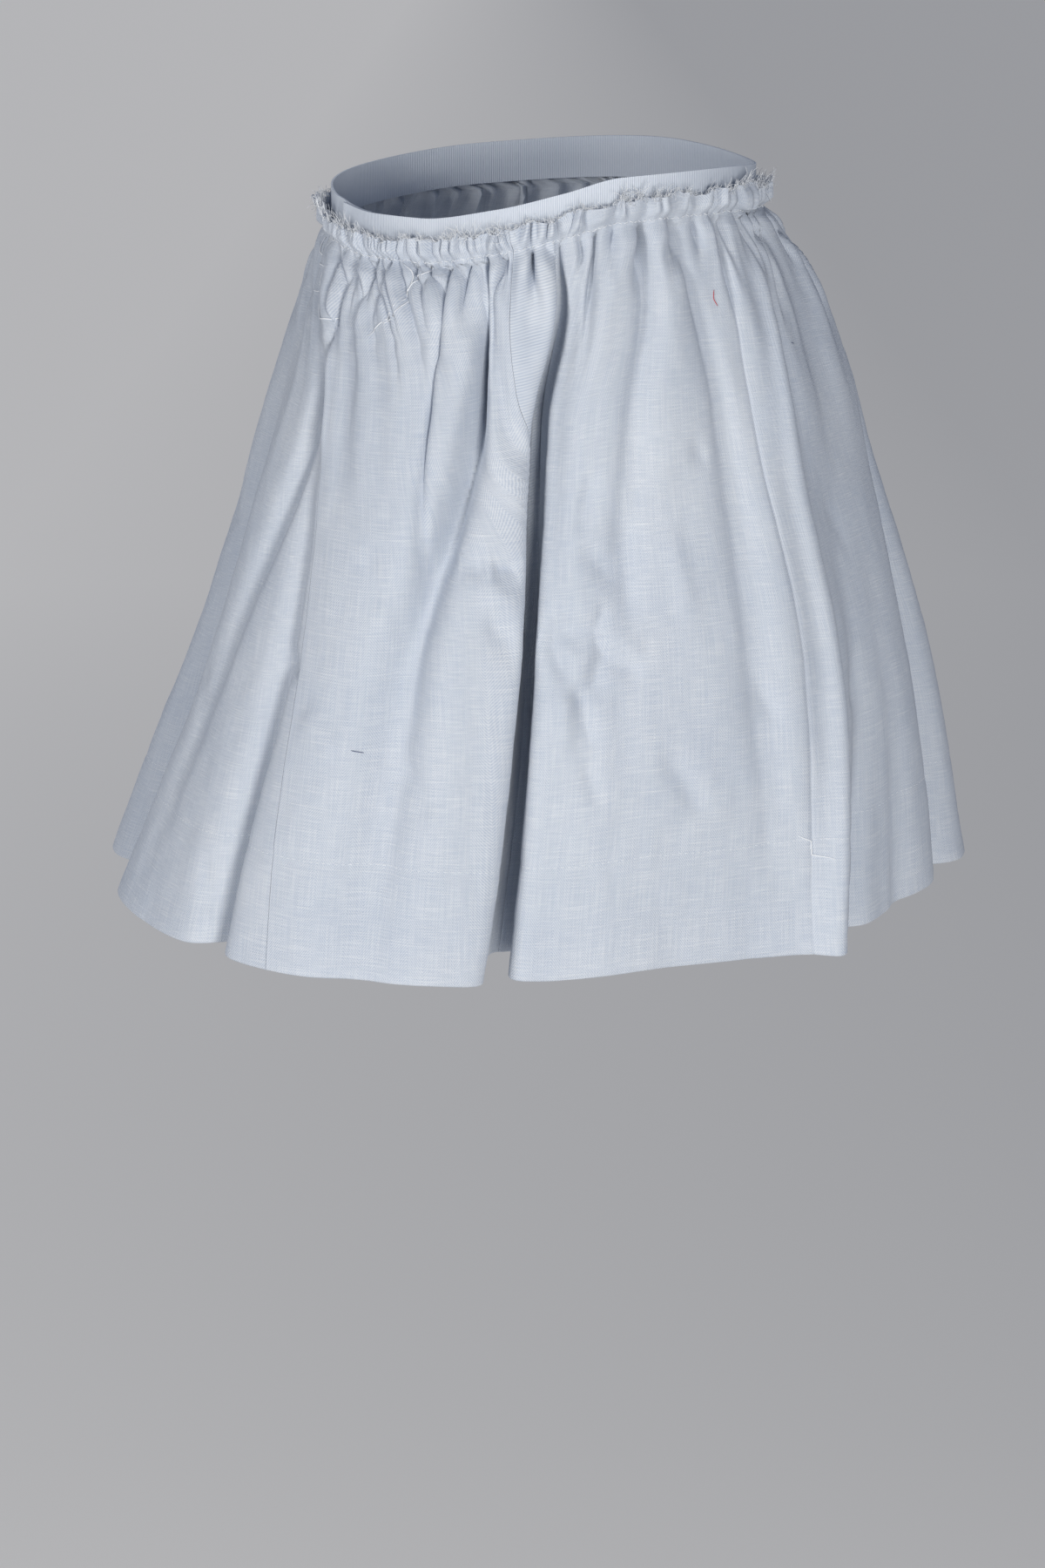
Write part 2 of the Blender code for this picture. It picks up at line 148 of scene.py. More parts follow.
# Long folds. Each row holds, for the levels, angles in degrees, depths in millimetres (a ridge
# is negative) and the half widths, in millimetres, at half of the depth. The last number says
# how steep the fold's sides are.
FOLDS = (
    ("deep front fold", (43, 43.4, 37.4, 35.0, 30.2), (6, 16, 38, 50, 56), (1.6, 3.8, 6.8, 8.2, 11.0), 8),
    ("deep fold's shoulder", (45, 46.5, 42, 40, 38), (2, 5, 10, 0, 0), (2.4, 3.5, 6.5, 6, 6), 2.4),
    ("front left groove", (12.5, 13.3, 12.5, 14, 14), (8, 9, 6, 0, 0), (1.3, 1.3, 2.0, 4, 4), 3),
    ("front left trough", (23.5, 25, 23.0, 12.5, 12), (9, 15, 25, 19, 6), (1.6, 2.5, 6.2, 13, 15), 2.8),
    ("front right trough", (64, 64, 59.5, 55.5, 55), (6, 6, 5, 2.4, 0), (2.4, 3.4, 6.5, 11, 11), 3),
    ("trough before the side seam", (72, 74, 79, 82.5, 83), (5, 5, 6, 6.5, 0), (2.4, 3.4, 6, 10, 10), 3),
    ("side ridge", (94, 93, 92.5, 96, 88.5), (-1, -3, -5, -8, -15), (4, 4.5, 5, 6, 6.5), 3),
    ("trough behind the ridge", (104, 102, 102, 106, 98), (0, 0, 0, 2, 14), (4, 5, 6, 8, 8), 3),
    ("left rear fold", (118, 116, 114, 114, 111), (0, 0, 0, 1, 4), (5, 5, 6, 7, 7), 3),
    ("left rear hollow", (130, 130, 130, 127, 125), (4, 5, 6, 26, 42), (4, 5, 8, 8, 9), 3),
    ("right side hollow", (-50, -50, -48, -47, -48), (0, 2, 6, 17, 38), (9, 8, 10, 12, 15), 2.6),
    ("front right hollow", (-26, -25, -20, -13.5, -11.5), (0, 0, 3, 12, 27), (5, 5, 6, 7, 8), 2.6),
    ("opening pleat", (-26, -26, -23.5, -31, -32), (2, 5, 12, 5, 0), (2.2, 2.4, 4.2, 9, 9), 3),
    ("first back fold", (149, 150, 151, 152, 152), (3, 3, 6, 22, 46), (3, 4, 8, 15, 19), 2.4),
    ("second back fold", (187, 186, 185, 184, 184), (4, 5, 9, 24, 44), (3, 4, 8, 14, 17), 2.4),
    ("third back fold", (213, 214, 215, 216, 217), (3, 3, 4, 16, 43), (3, 4, 8, 14, 18), 2.4),
    ("fourth back fold", (249, 248, 247, 246, 246), (3, 2, 3, 18, 42), (3, 4, 8, 14, 17), 2.4),
    ("fifth back fold", (273, 273, 275, 276, 277), (4, 4, 6, 18, 42), (3, 4, 8, 14, 18), 2.4),
)
GROOVE_POWER = 3.2

# The thread that starts in this fold stays at its bottom all the way down
HELD_FOLD = FOLDS[0]

# Short grooves that run down from the stitches: angle, drift of that angle over the
# groove's length, depth in millimetres, length in metres
SHORT_GROOVES = (
    (-75, -2, 4, 0.075),
    (-61, 2, 4, 0.060),
    (-50, 3, 3, 0.060),
    (-36, 6, 5, 0.035),
    (-25, 4, 5, 0.024),
    (-16, -1, 5, 0.055),
    (-9, -3, 4, 0.042),
    (1, 0, 4, 0.020),
    (6, -1, 4, 0.022),
    (18.5, -1, 4, 0.045),
    (29.5, 0, 5, 0.030),
    (36.5, 0, 4, 0.032),
    (48.5, 1, 3, 0.026),
    (53, -6, 5, 0.085),
    (57.5, -2, 3, 0.030),
    (64.5, -4, 3, 0.042),
    (72, -1, 4, 0.032),
    (78, 1, 3, 0.024),
    (84, 0, 5, 0.060),
    (92.5, 2, 5, 0.042),
    (98, -1, 4, 0.026),
    (103, -4, 5, 0.070),
    (115, 0, 3, 0.040),
    (129, -9, 4, 0.085),
    (140, 1, 4, 0.060),
    (160, -2, 5, 0.085),
    (170, 1, 4, 0.040),
    (179, 0, 3, 0.055),
    (196, 2, 4, 0.075),
    (205, 0, 3, 0.040),
    (224, -2, 5, 0.080),
    (236, 1, 3, 0.045),
    (258, 2, 4, 0.075),
    (265, 0, 3, 0.040),
    (289, -1, 4, 0.070),
)
GROOVE_HALF_WIDTH = 1.25 * MM
GROOVE_DEEPER = 1.9
GROOVE_START = 0.006

# The two lips of the deep front fold, the wearer's right one and left one, close over it by this
# share of its half width at each level, following two powers of the fold's section
LIPS = ((0.2, 0.8, 0.92, 0.95, 1.05), (0, 0, 0.1, 0.35, 0.4))
LIP_POWERS = (0.5, 2.8)
LIP_PEAK = 0.2456

# The stitches hold the gathers down to this distance
STITCH_HOLD = 0.018

# Waves that the gathers merge into further down: gathers in each wave, height in
# millimetres, distance to its greatest height, distance at which it is gone
WAVES = (
    (1, 1.90, 0.009, 0.045),
    (2, 1.65, 0.026, 0.085),
    (4, 1.75, 0.060, 0.160),
)

# Heights of the gathers in the raw heading and at the stitches, and how far the heading leans out
FRILL_WAVE = 1.9 * MM
STITCH_WAVE = 0.9 * MM
FRILL_LEAN = 1.2 * MM

# The merged waves stray from side to side this much, this many times round the waist
WANDER = 0.9
WANDER_TURNS = 5

# Unevenness of the gathers: waves round the waist, strength, phase
SPACING = ((2, 7.0, 0.4), (7, 2.2, 1.9), (19, 0.5, 4.0))
HEIGHTS = ((3, 0.16, 0.7), (11, 0.20, 2.6), (23, 0.22, 5.1), (31, 0.14, 1.3))


def smooth_through(xs, ys, x):
    """Read a curve without overshoot through the points (xs, ys) at x."""
    xs = np.asarray(xs, float)
    ys = np.asarray(ys, float)
    steps = np.diff(xs)
    slopes = np.diff(ys) / steps
    tangents = np.zeros_like(ys)
    same_way = slopes[:-1] * slopes[1:] > 0
    near = slopes[:-1][same_way]
    far = slopes[1:][same_way]
    tangents[1:-1][same_way] = 2 * near * far / (near + far)
    tangents[0] = slopes[0]
    tangents[-1] = slopes[-1]
    x = np.clip(x, xs[0], xs[-1])
    cell = np.clip(np.searchsorted(xs, x, side="right") - 1, 0, len(xs) - 2)
    width = steps[cell]
    t = (x - xs[cell]) / width
    rise = t * t * (3 - 2 * t)
    return (ys[cell] * (1 - rise) + ys[cell + 1] * rise
            + width * (tangents[cell] * t * (1 - t) ** 2 - tangents[cell + 1] * t * t * (1 - t)))


def round_waist(table, column, at):
    """Read a column of a table whose rows go once round the waist, each from its angle."""
    degrees = np.array([row[0] for row in table], float)
    values = np.array([row[column] for row in table], float)
    turns = np.concatenate([degrees - 360, degrees, degrees + 360])
    at = (np.asarray(at, float) - degrees[0]) % 360 + degrees[0]
    return smooth_through(turns, np.tile(values, 3), at)


def smooth_step(x):
    """Rise from 0 to 1 as x goes from 0 to 1."""
    x = np.clip(x, 0, 1)
    return x * x * (3 - 2 * x)


def angle_between(a, b):
    """Give the signed angle from b to a, between -180 and 180 degrees."""
    return (a - b + 180) % 360 - 180


def polar(deg, radius, height):
    """Give the points at angles, radii and heights round the waist's axis."""
    turn = np.radians(deg)
    return np.stack([radius * np.sin(turn), -radius * np.cos(turn), height], axis=1)


def length_along(points):
    """Give the length along a line of points, from 0 at the first one."""
    return np.concatenate([[0.0], np.cumsum(np.linalg.norm(np.diff(points, axis=0), axis=1))])


def waist_radius(deg):
    """Give the radius of the ribbon's outer face."""
    across = WAIST_HALF_DEPTH * np.sin(np.radians(deg))
    ahead = WAIST_HALF_WIDTH * np.cos(np.radians(deg))
    return WAIST_HALF_WIDTH * WAIST_HALF_DEPTH / np.hypot(across, ahead)


def stitch_height(deg):
    """Give the height of the gathering stitches."""
    return round_waist(STITCH_LINE, 1, deg)


def gather_phase(thread_deg):
    """Give the phase of the gathers, one full turn a gather, at an angle of the waist."""
    turn = np.radians(thread_deg)
    phase = GATHERS * turn
    for waves, strength, shift in SPACING:
        phase = phase + strength * (np.sin(waves * turn + shift) - math.sin(shift))
    return phase


def gather_size(thread_deg):
    """Give the relative height of the gathers, which is uneven round the waist."""
    turn = np.radians(thread_deg)
    size = np.ones_like(turn)
    for waves, strength, shift in HEIGHTS:
        size = size + strength * np.sin(waves * turn + shift)
    return size


def fold_shape(distance, half_width, power):
    """Give the rounded section of a fold, 1 along its middle and 1/2 at its half width."""
    return 1 / (1 + np.abs(distance / half_width) ** power)


def fold_depth(deg, down, radius):
    """Give how far the folds and grooves draw the cloth in at an angle and a distance down."""
    share = down / SKIRT_LENGTH
    depth = np.zeros_like(deg)
    for _, angles, depths, widths, power in FOLDS:
        middle = smooth_through(LEVELS, angles, share)
        half_width = smooth_through(LEVELS, widths, share) * MM
        arc = np.radians(angle_between(deg, middle)) * radius
        depth += smooth_through(LEVELS, depths, share) * MM * fold_shape(arc, half_width, power)
    for waist_deg, drift, groove_mm, length in SHORT_GROOVES:
        along = down / length
        arc = np.radians(angle_between(deg, waist_deg + drift * along)) * radius
        fade = 1 - smooth_step(along)
        section = fold_shape(arc, GROOVE_HALF_WIDTH * (1 + along), GROOVE_POWER)
        depth += groove_mm * MM * GROOVE_DEEPER * fade * section
    return depth * smooth_step(down / GROOVE_START)


def gather_height(thread_deg, down):
    """Give how far the gathers stand out of the waist's curve."""
    phase = gather_phase(thread_deg)
    size = gather_size(thread_deg)
    out = STITCH_WAVE * (1 - smooth_step(down / STITCH_HOLD)) * size * puffed(phase)
    for merged, height_mm, full, gone in WAVES:
        rise = smooth_step(down / full)
        fall = 1 - smooth_step((down - full) / (gone - full))
        wander = (merged - 1) * WANDER * np.sin(np.radians(WANDER_TURNS * thread_deg) + merged)
        out += height_mm * MM * rise * fall * size * puffed(phase / merged + wander)
    return out


def smooth_radius(deg, down):
    """Give the radius of the folded cloth, before its gathers, at an angle and a distance down."""
    share = max(down, 0.0) / SKIRT_LENGTH
    base = waist_radius(deg) + CLOTH_OFFSET
    shares, slow, quick = np.transpose(FLARE)
    slow = smooth_through(shares, slow, share)
    quick = smooth_through(shares, quick, share)
    towards_hip = (1 + np.cos(np.radians(deg - FULL_HIP_ANGLE))) / 2
    widening = slow + (quick - slow) * towards_hip
    radius = base + (round_waist(HEM, 1, deg) - base) * widening
    return radius - fold_depth(deg, max(down, 0.0), radius)


def thread_angle(thread_deg, down):
    """Give the angle of a thread at a distance down.

    Between two seams, or a seam and the held fold, the threads are spread evenly
    along the folded cloth.
    """
    share = max(down, 0.0) / SKIRT_LENGTH
    lines = sorted([row[1] for row in SEAMS] + [HELD_FOLD[1]])
    lines.append([angle + 360 for angle in lines[0]])
    waist = [angles[0] for angles in lines]
    held = [float(smooth_through(LEVELS, angles, share)) for angles in lines]
    turns = np.floor((thread_deg - waist[0]) / 360) * 360
    deg = np.linspace(held[0], held[-1], SECTION_POINTS)
    length = length_along(polar(deg, smooth_radius(deg, down), np.zeros_like(deg)))
    wanted = np.interp(thread_deg - turns, waist, np.interp(held, deg, length))
    return np.interp(wanted, length, deg) + turns


def held_section(deg, share, radius):
    """Give the distance from the held fold's middle, its half width, and its section there."""
    _, angles, _, widths, power = HELD_FOLD
    arc = np.radians(angle_between(deg, smooth_through(LEVELS, angles, share))) * radius
    half_width = smooth_through(LEVELS, widths, share) * MM
    return arc, half_width, fold_shape(arc, half_width, power)


def lip_turn(deg, share, radius):
    """Give the angle by which the held fold's lips close over it."""
    arc, half_width, section = held_section(deg, share, radius)
    right, left = (smooth_through(LEVELS, lip, share) for lip in LIPS)
    bulge = section ** LIP_POWERS[0] * (1 - section) ** LIP_POWERS[1] / LIP_PEAK
    return np.degrees(half_width * bulge * np.where(arc < 0, right, -left) / radius)


def cloth_row(thread_deg, down):
    """Give the points of the cloth's middle surface at one distance down."""
    share = max(down, 0.0) / SKIRT_LENGTH
    deg = thread_angle(thread_deg, down)
    radius = smooth_radius(deg, down) + gather_height(thread_deg, down)
    deg = deg + lip_turn(deg, share, radius)
    top = stitch_height(deg)
    return polar(deg, radius, top + (round_waist(HEM, 2, deg) - top) * share - min(down, 0.0))


# Rows of points down the cloth, finer than the solids': first distance, step
ROW_STEPS = ((-FRILL_HEIGHT, 0.0017), (0.0, 0.0024), (0.060, 0.0042), (0.309, 0.0040))

# Extra columns beside each seam, at these angles from it, and the angle kept free of others
BESIDE_SEAM = (0.10, 0.25, 0.50)
SEAM_CLEAR = 0.7
HALF_CLOTH = CLOTH_WALL / 2

# Hem: the fold at the bottom and the layer that is turned up inside
FOLD_STEPS = 4
TURN_GAP = 0.04 * MM
HALF_TURN = 0.45 * MM
TURN_ROWS = 12
HEM_STITCHES = SKIRT_LENGTH - HEM_TURN_UP + 0.002

# The hem's stitches pull the cloth in and it puckers beside them: half width, depth
HEM_DIP = (1.2 * MM, 0.35 * MM)
HEM_PUCKER = (7 * MM, 0.16 * MM)
PUCKER_LENGTH = 0.0034
PUCKER_TURNS = 17
PUCKER_STRAY = 3

# Length of the flat cut along the grain, from the raw heading to the turned-up edge, and the part
# of it that goes round the hem's fold
FOLD_CUT = 0.004

# Creases pressed and worn into the cloth: angle and distance down of one end, of the other end,
# depth in millimetres (a ridge is negative), half width in millimetres
CREASES = (
    (39, 0.192, 45, 0.222, 2.6, 4.0),
    (45, 0.222, 50, 0.262, 2.2, 4.5),
    (40, 0.190, 54, 0.202, 2.0, 5.0),
    (47, 0.150, 50, 0.118, 2.0, 5.0),
    (47, 0.152, 55, 0.176, 1.6, 6.0),
    (57, 0.140, 57, 0.200, 1.8, 7.0),
    (51, 0.205, 50, 0.235, 1.8, 6.0),
    (43, 0.225, 45, 0.255, -1.6, 6.0),
    (22, 0.158, 28, 0.161, 2.2, 5.0),
    (28, 0.161, 34, 0.163, 2.6, 3.5),
    (30, 0.174, 34, 0.168, 1.8, 3.0),
    (27, 0.172, 33, 0.176, -1.6, 4.0),
    (28, 0.182, 33, 0.212, 1.8, 6.0),
    (32, 0.205, 36, 0.240, 1.6, 6.0),
    (40, 0.191, 50, 0.208, 1.5, 5.0),
    (49, 0.206, 61, 0.225, 1.9, 5.0),
    (50, 0.199, 61, 0.216, -1.2, 5.5),
    (52, 0.184, 50, 0.212, 1.5, 4.5),
    (50, 0.212, 47, 0.238, 1.1, 4.5),
    (44, 0.236, 47, 0.262, 1.3, 4.5),
    (47, 0.258, 50, 0.290, 1.2, 5.0),
    (71, 0.112, 76, 0.120, 1.0, 3.5),
    (82, 0.234, 86, 0.256, 1.3, 4.0),
    (-13, 0.216, -7, 0.225, 1.4, 3.0),
    (-10, 0.213, -10, 0.228, 1.0, 2.5),
    (-17, 0.328, -14, 0.362, 1.5, 3.5),
    (2, 0.150, 9, 0.185, 1.2, 7.0),
    (-4, 0.240, 6, 0.262, -1.0, 6.0),
    (14, 0.262, 22, 0.290, 1.2, 7.0),
    (62, 0.262, 72, 0.300, 1.1, 7.0),
    (66, 0.150, 70, 0.200, -1.0, 7.0),
    (104, 0.150, 110, 0.180, 0.7, 6.5),
    (108, 0.230, 103, 0.262, 0.7, 6.5),
    (-60, 0.150, -52, 0.175, 0.7, 7.5),
    (-40, 0.240, -33, 0.262, 0.8, 7.5),
    (140, 0.120, 150, 0.140, 0.8, 7.5),
    (146, 0.205, 160, 0.222, 1.0, 7.5),
    (168, 0.160, 176, 0.196, 0.9, 7.5),
    (178, 0.262, 192, 0.278, 0.9, 7.5),
    (200, 0.130, 208, 0.165, 0.8, 7.5),
    (206, 0.232, 222, 0.246, 1.0, 7.5),
    (228, 0.170, 240, 0.186, 0.8, 7.5),
    (236, 0.280, 250, 0.262, 0.9, 7.5),
    (262, 0.140, 270, 0.176, 0.9, 7.5),
    (270, 0.232, 284, 0.250, 1.0, 7.5),
    (288, 0.180, 296, 0.205, 0.8, 7.5),
)
CREASE_POWER = 2.2
CREASE_DEEPER = 2.0
CREASE_NARROWER = 0.85

# Creases fade towards their ends, by this slope from this start, and above this distance down
CREASE_TAPER = (3, 0.15)
CREASE_START = 0.03

# They also fade at the deep fold's lips, this many times quicker than the fold's section rises
LIP_CALM = 8.0

# Fine unevenness of the cloth: height in millimetres, size in metres across and down
WRINKLES = ((2.4, 0.070, 0.110), (0.50, 0.016, 0.026), (0.22, 0.006, 0.006))

# Gathers in the scene are fuller than a plain wave: broad crests and narrow valleys
PUFF = 2.3
PINCH = 0.7

# How far the cloth sinks in at each seam, and the half width of that dip
SEAM_DIPS = (0.0, 0.70 * MM, 1.00 * MM, 0.55 * MM)
SEAM_DIP_WIDTH = 1.3 * MM

# Seam allowances: where their top is, half their thickness, their columns' distances from the
# seam, and the number of the panel's columns that may lie over them
ALLOWANCE_TOP = 0.003
HALF_ALLOWANCE = 0.40 * MM
ALLOWANCE_STEPS = (-0.0008, 0.0, 0.0035, 0.0075, 0.0115)
ALLOWANCE_COLUMNS = 60

# Raw heading: narrow gathers to each gather below it, their start, how the wave from the stitches
# dies away, and a swelling half way up
FRILL_LUMPS = 1.8
LUMPS_START = 2.2
FRILL_LOSS = 0.6
FRILL_SWELL = 0.9 * MM
SWELL_REACH = 1.15
FLUTTER_POWER = 1.6
EDGE_SHARE = 0.92

# Unevenness of the heading: shift of the noise, its size in metres, its strength. The rows are for
# the gathers' places, their heights, the flutter, the lean in degrees, and the ragged edge twice.
FRILL_NOISES = (
    (0, 0.011, 3.5),
    (5, 0.009, 1.1),
    (3, 0.006, 3.0 * MM),
    (7, 0.008, 3.2),
    (0, 0.007, 0.30),
    (0, 0.0021, 0.12),
)

# One curled tab stands above the heading and bends over: angle, half width in degrees, how sharply
# it ends, rise, how far out, sag, how calm its gathers are; then shares of the heading's height
TAB_ANGLE = 97.5
TAB_HALF_TURN = 3.3
TAB_POWER = 4
TAB_RISE = 2.4 * MM
TAB_RISE_POWER = 1.5
TAB_OUT = 5.5 * MM
TAB_SAG = 3.2 * MM
TAB_CALM = 0.85
TAB_FULL = 0.35
TAB_BEND = 0.6
TAB_RETURN = 0.5
TAB_SAG_PLACE = (0.3, 0.2)

# Opening: the front panel's edge lies over the other one for this length
OPENING_LENGTH = 0.115
OPENING_LIFT = 1.3 * MM
OPENING_WIDTH = 5.0 * MM
OPENING_START = 0.012
OPENING_FADE = 0.2


def puffed(phase):
    """Give a gather's section, 0 in its valley and 2 on its broad crest."""
    return 2 * (1 - (1 - (1 + np.cos(phase)) / 2) ** PUFF)


def pinched(phase):
    """Give a narrow gather's section, 0 in its sharp valley and 2 on its crest."""
    return 2 * np.abs(np.cos(phase / 2)) ** PINCH


def bell(distance, half_width):
    """Give a soft bump, 1 in the middle."""
    return 1 / (1 + (distance / half_width) ** 2)


def wave_noise(points, across, down):
    """Read smooth noise of a given size at points."""
    scale = np.array([1 / across, 1 / across, 1 / down])
    flat = (points * scale).reshape(-1, 3)
    values = np.array([noise.noise(Vector(point)) for point in flat])
    return values.reshape(points.shape[:-1])


def row_distances():
    """List the distances down of the cloth's rows."""
    rows = []
    ends = [start for start, _ in ROW_STEPS[1:]] + [SKIRT_LENGTH]
    for (start, step), end in zip(ROW_STEPS, ends):
        rows.extend(np.linspace(start, end, round((end - start) / step) + 1)[:-1])
    return np.array(rows + [SKIRT_LENGTH])


def panel_threads():
    """List each panel's threads, with more of them beside its seams."""
    waist = [angles[0] for _, angles in SEAMS]
    waist.append(waist[0] + 360)
    listed = []
    for (_, columns), start, end in zip(PANELS, waist, waist[1:]):
        trial = np.linspace(start, end, SECTION_POINTS)
        steps = gather_phase(trial) * columns / (2 * math.pi)
        inner = np.interp(np.arange(math.ceil(steps[0]), steps[-1]), steps, trial)
        inner = inner[(inner > start + SEAM_CLEAR) & (inner < end - SEAM_CLEAR)]
        near = [start + step for step in (0.0,) + BESIDE_SEAM]
        far = [end - step for step in BESIDE_SEAM[::-1] + (0.0,)]
        listed.append(np.concatenate([near, inner, far]))
    return listed


def crease_depth(deg, down, radius):
    """Give how far the creases draw the cloth in, in metres."""
    depth = np.zeros_like(deg)
    for from_deg, from_down, to_deg, to_down, deep, half in CREASES:
        across = np.radians(angle_between(deg, from_deg)) * radius
        along = down - from_down
        reach = math.radians(to_deg - from_deg) * float(np.mean(radius))
        drop = to_down - from_down
        share = np.clip((across * reach + along * drop) / (reach ** 2 + drop ** 2), 0, 1)
        away = np.hypot(across - reach * share, along - drop * share)
        taper = smooth_step(np.minimum(share, 1 - share) * CREASE_TAPER[0] + CREASE_TAPER[1])
        section = 1 / (1 + (away / (CREASE_NARROWER * half * MM)) ** CREASE_POWER)
        depth += CREASE_DEEPER * deep * MM * taper * section
    held = held_section(deg, down / SKIRT_LENGTH, radius)[2]
    return depth * (1 - smooth_step(LIP_CALM * held))


def frill_row(thread_deg, down):
    """Give the points of one row of the raw heading, whose gathers are narrower and lumpy."""
    up = -down / FRILL_HEIGHT
    turn = np.radians(thread_deg)
    around = np.stack([np.sin(turn), np.cos(turn), np.zeros_like(turn)], axis=1) * WAIST_HALF_WIDTH
    stray, uneven, flutter, lean, edge, fringe = (
        strength * wave_noise(around + shift, size, 1) for shift, size, strength in FRILL_NOISES)
    phase = gather_phase(thread_deg)
    out = STITCH_WAVE * gather_size(thread_deg) * puffed(phase) * (1 - FRILL_LOSS * up)
    out += FRILL_SWELL * np.sin(math.pi * min(1.0, SWELL_REACH * up)) + FRILL_LEAN * up
    out += np.abs(flutter) * up ** FLUTTER_POWER
    tab = np.exp(-(angle_between(thread_deg, TAB_ANGLE) / TAB_HALF_TURN) ** TAB_POWER)
    lumps = FRILL_WAVE * (1 + uneven) * pinched(FRILL_LUMPS * phase + stray)
    out += lumps * smooth_step(up * LUMPS_START) * (1 - TAB_CALM * tab)
    bent = 1 - TAB_RETURN * smooth_step((up - TAB_BEND) / (1 - TAB_BEND))
    out += tab * TAB_OUT * smooth_step(up / TAB_FULL) * bent
    deg = thread_angle(thread_deg, 0.0) + lean * up
    height = stitch_height(deg) + FRILL_HEIGHT * up * (EDGE_SHARE + (edge + fringe) * up)
    level, reach = TAB_SAG_PLACE
    height += tab * (TAB_RISE * up ** TAB_RISE_POWER - TAB_SAG * math.exp(-((up - level) / reach) ** 2))
    return polar(deg, smooth_radius(deg, 0.0) + out, height), deg


def surface_normals(grid):
    """Give the outward normals of a grid of rows and columns."""
    down = np.gradient(grid, axis=0)
    along = np.gradient(grid, axis=1)
    normals = np.cross(down, along)
    return normals / np.maximum(np.linalg.norm(normals, axis=2, keepdims=True), 1e-12)


def hem_places(threads):
    """Give the distance of each thread along the panel's hem."""
    return length_along(cloth_row(threads, SKIRT_LENGTH))


def opening_lap(name, along, down):
    """Give how far the two edges of the opening stand out of or behind the cloth."""
    fade = OPENING_LENGTH * OPENING_FADE
    share = smooth_step(down / OPENING_START) * (1 - smooth_step((down - OPENING_LENGTH + fade) / fade))
    if name == "front_panel":
        return OPENING_LIFT * share * (1 - smooth_step(along / OPENING_WIDTH))
    if name == "right_front_panel":
        return -OPENING_LIFT * share * (1 - smooth_step((along[-1] - along) / OPENING_WIDTH))
    return 0.0


def build_panel(number, threads, rows):
    """Give a panel's middle surface, its normals, and the angle of each point."""
    grid = np.zeros((len(rows), len(threads), 3))
    angles = np.zeros((len(rows), len(threads)))
    push = np.zeros_like(angles)
    places = hem_places(threads)
    dip = SEAM_DIPS[number] * bell(places, SEAM_DIP_WIDTH)
    dip += SEAM_DIPS[(number + 1) % len(SEAMS)] * bell(places[-1] - places, SEAM_DIP_WIDTH)
    puckers = np.sin(places / PUCKER_LENGTH + PUCKER_STRAY * np.sin(np.radians(threads) * PUCKER_TURNS))
    for row, down in enumerate(rows):
        if down < 0:
            grid[row], angles[row] = frill_row(threads, down)
            push[row] = -dip / 2
            continue
        grid[row] = cloth_row(threads, down)
        angles[row] = thread_angle(threads, down)
        radius = np.hypot(grid[row, :, 0], grid[row, :, 1])
        push[row] -= crease_depth(angles[row], down, radius) * smooth_step(down / CREASE_START) + dip
        push[row] += opening_lap(PANELS[number][0], length_along(grid[row]), down)
        beside = down - HEM_STITCHES
        push[row] -= HEM_DIP[1] * bell(beside, HEM_DIP[0])
        push[row] += HEM_PUCKER[1] * bell(beside, HEM_PUCKER[0]) * puckers
    normals = surface_normals(grid)
    uneven = np.zeros_like(push)
    for height, across, down in WRINKLES:
        uneven += height * MM * wave_noise(grid + 5 * across, across, down)
    push += uneven * smooth_step(rows / CREASE_START)[:, None]
    grid = grid + normals * push[:, :, None]
    return grid, surface_normals(grid), angles


def placed(name, data):
    """Put a mesh, a lamp or a camera into the scene."""
    piece = bpy.data.objects.new(name, data)
    bpy.context.scene.collection.objects.link(piece)
    return piece


def mesh_piece(name, points, faces, material):
    """Put a mesh with smooth faces into the scene."""
    mesh = bpy.data.meshes.new(name)
    mesh.from_pydata(points, [], faces)
    mesh.materials.append(material)
    mesh.shade_smooth()
    return placed(name, mesh)


def quad_faces(rows, columns, first, flipped):
    """List the faces of a grid whose points are numbered from first."""
    number = first + np.arange(rows * columns).reshape(rows, columns)
    a, b = number[:-1, :-1], number[1:, :-1]
    c, d = number[1:, 1:], number[:-1, 1:]
    order = (d, c, b, a) if flipped else (a, b, c, d)
    return np.stack([corner.ravel() for corner in order], axis=1)


# Edges sharper than this many degrees are shown sharp
SHARP_ANGLE = 60


def shell(name, middle, normals, half, across, along, material):
    """Make a thin closed shell from a surface, with its place on the flat cut as its UV map."""
    rows, columns = middle.shape[:2]
    half = np.broadcast_to(np.asarray(half), (rows,))[:, None, None]
    points = np.concatenate([(middle + normals * half).reshape(-1, 3),
                             (middle - normals * half).reshape(-1, 3)])
    inside = rows * columns
    outer = np.arange(inside).reshape(rows, columns)
    inner = outer + inside
    faces = [quad_faces(rows, columns, 0, False), quad_faces(rows, columns, inside, True)]
    for top, low in ((outer[0], inner[0]), (inner[-1], outer[-1])):
        faces.append(np.stack([top[:-1], top[1:], low[1:], low[:-1]], axis=1))
    for near, far in ((outer[:, 0], inner[:, 0]), (inner[:, -1], outer[:, -1])):
        faces.append(np.stack([near[:-1], far[:-1], far[1:], near[1:]], axis=1))
    faces = np.concatenate(faces)
    piece = mesh_piece(name, points.tolist(), faces.tolist(), material)
    flat = np.stack([np.broadcast_to(across, (rows, columns)),
                     np.broadcast_to(along, (rows, columns))], axis=2).reshape(-1, 2)
    flat = np.concatenate([flat, flat])
    layer = piece.data.uv_layers.new(name="cut")
    layer.data.foreach_set("uv", flat[faces.ravel()].astype(np.float32).ravel())
    piece.data.set_sharp_from_angle(angle=math.radians(SHARP_ANGLE))
    return piece


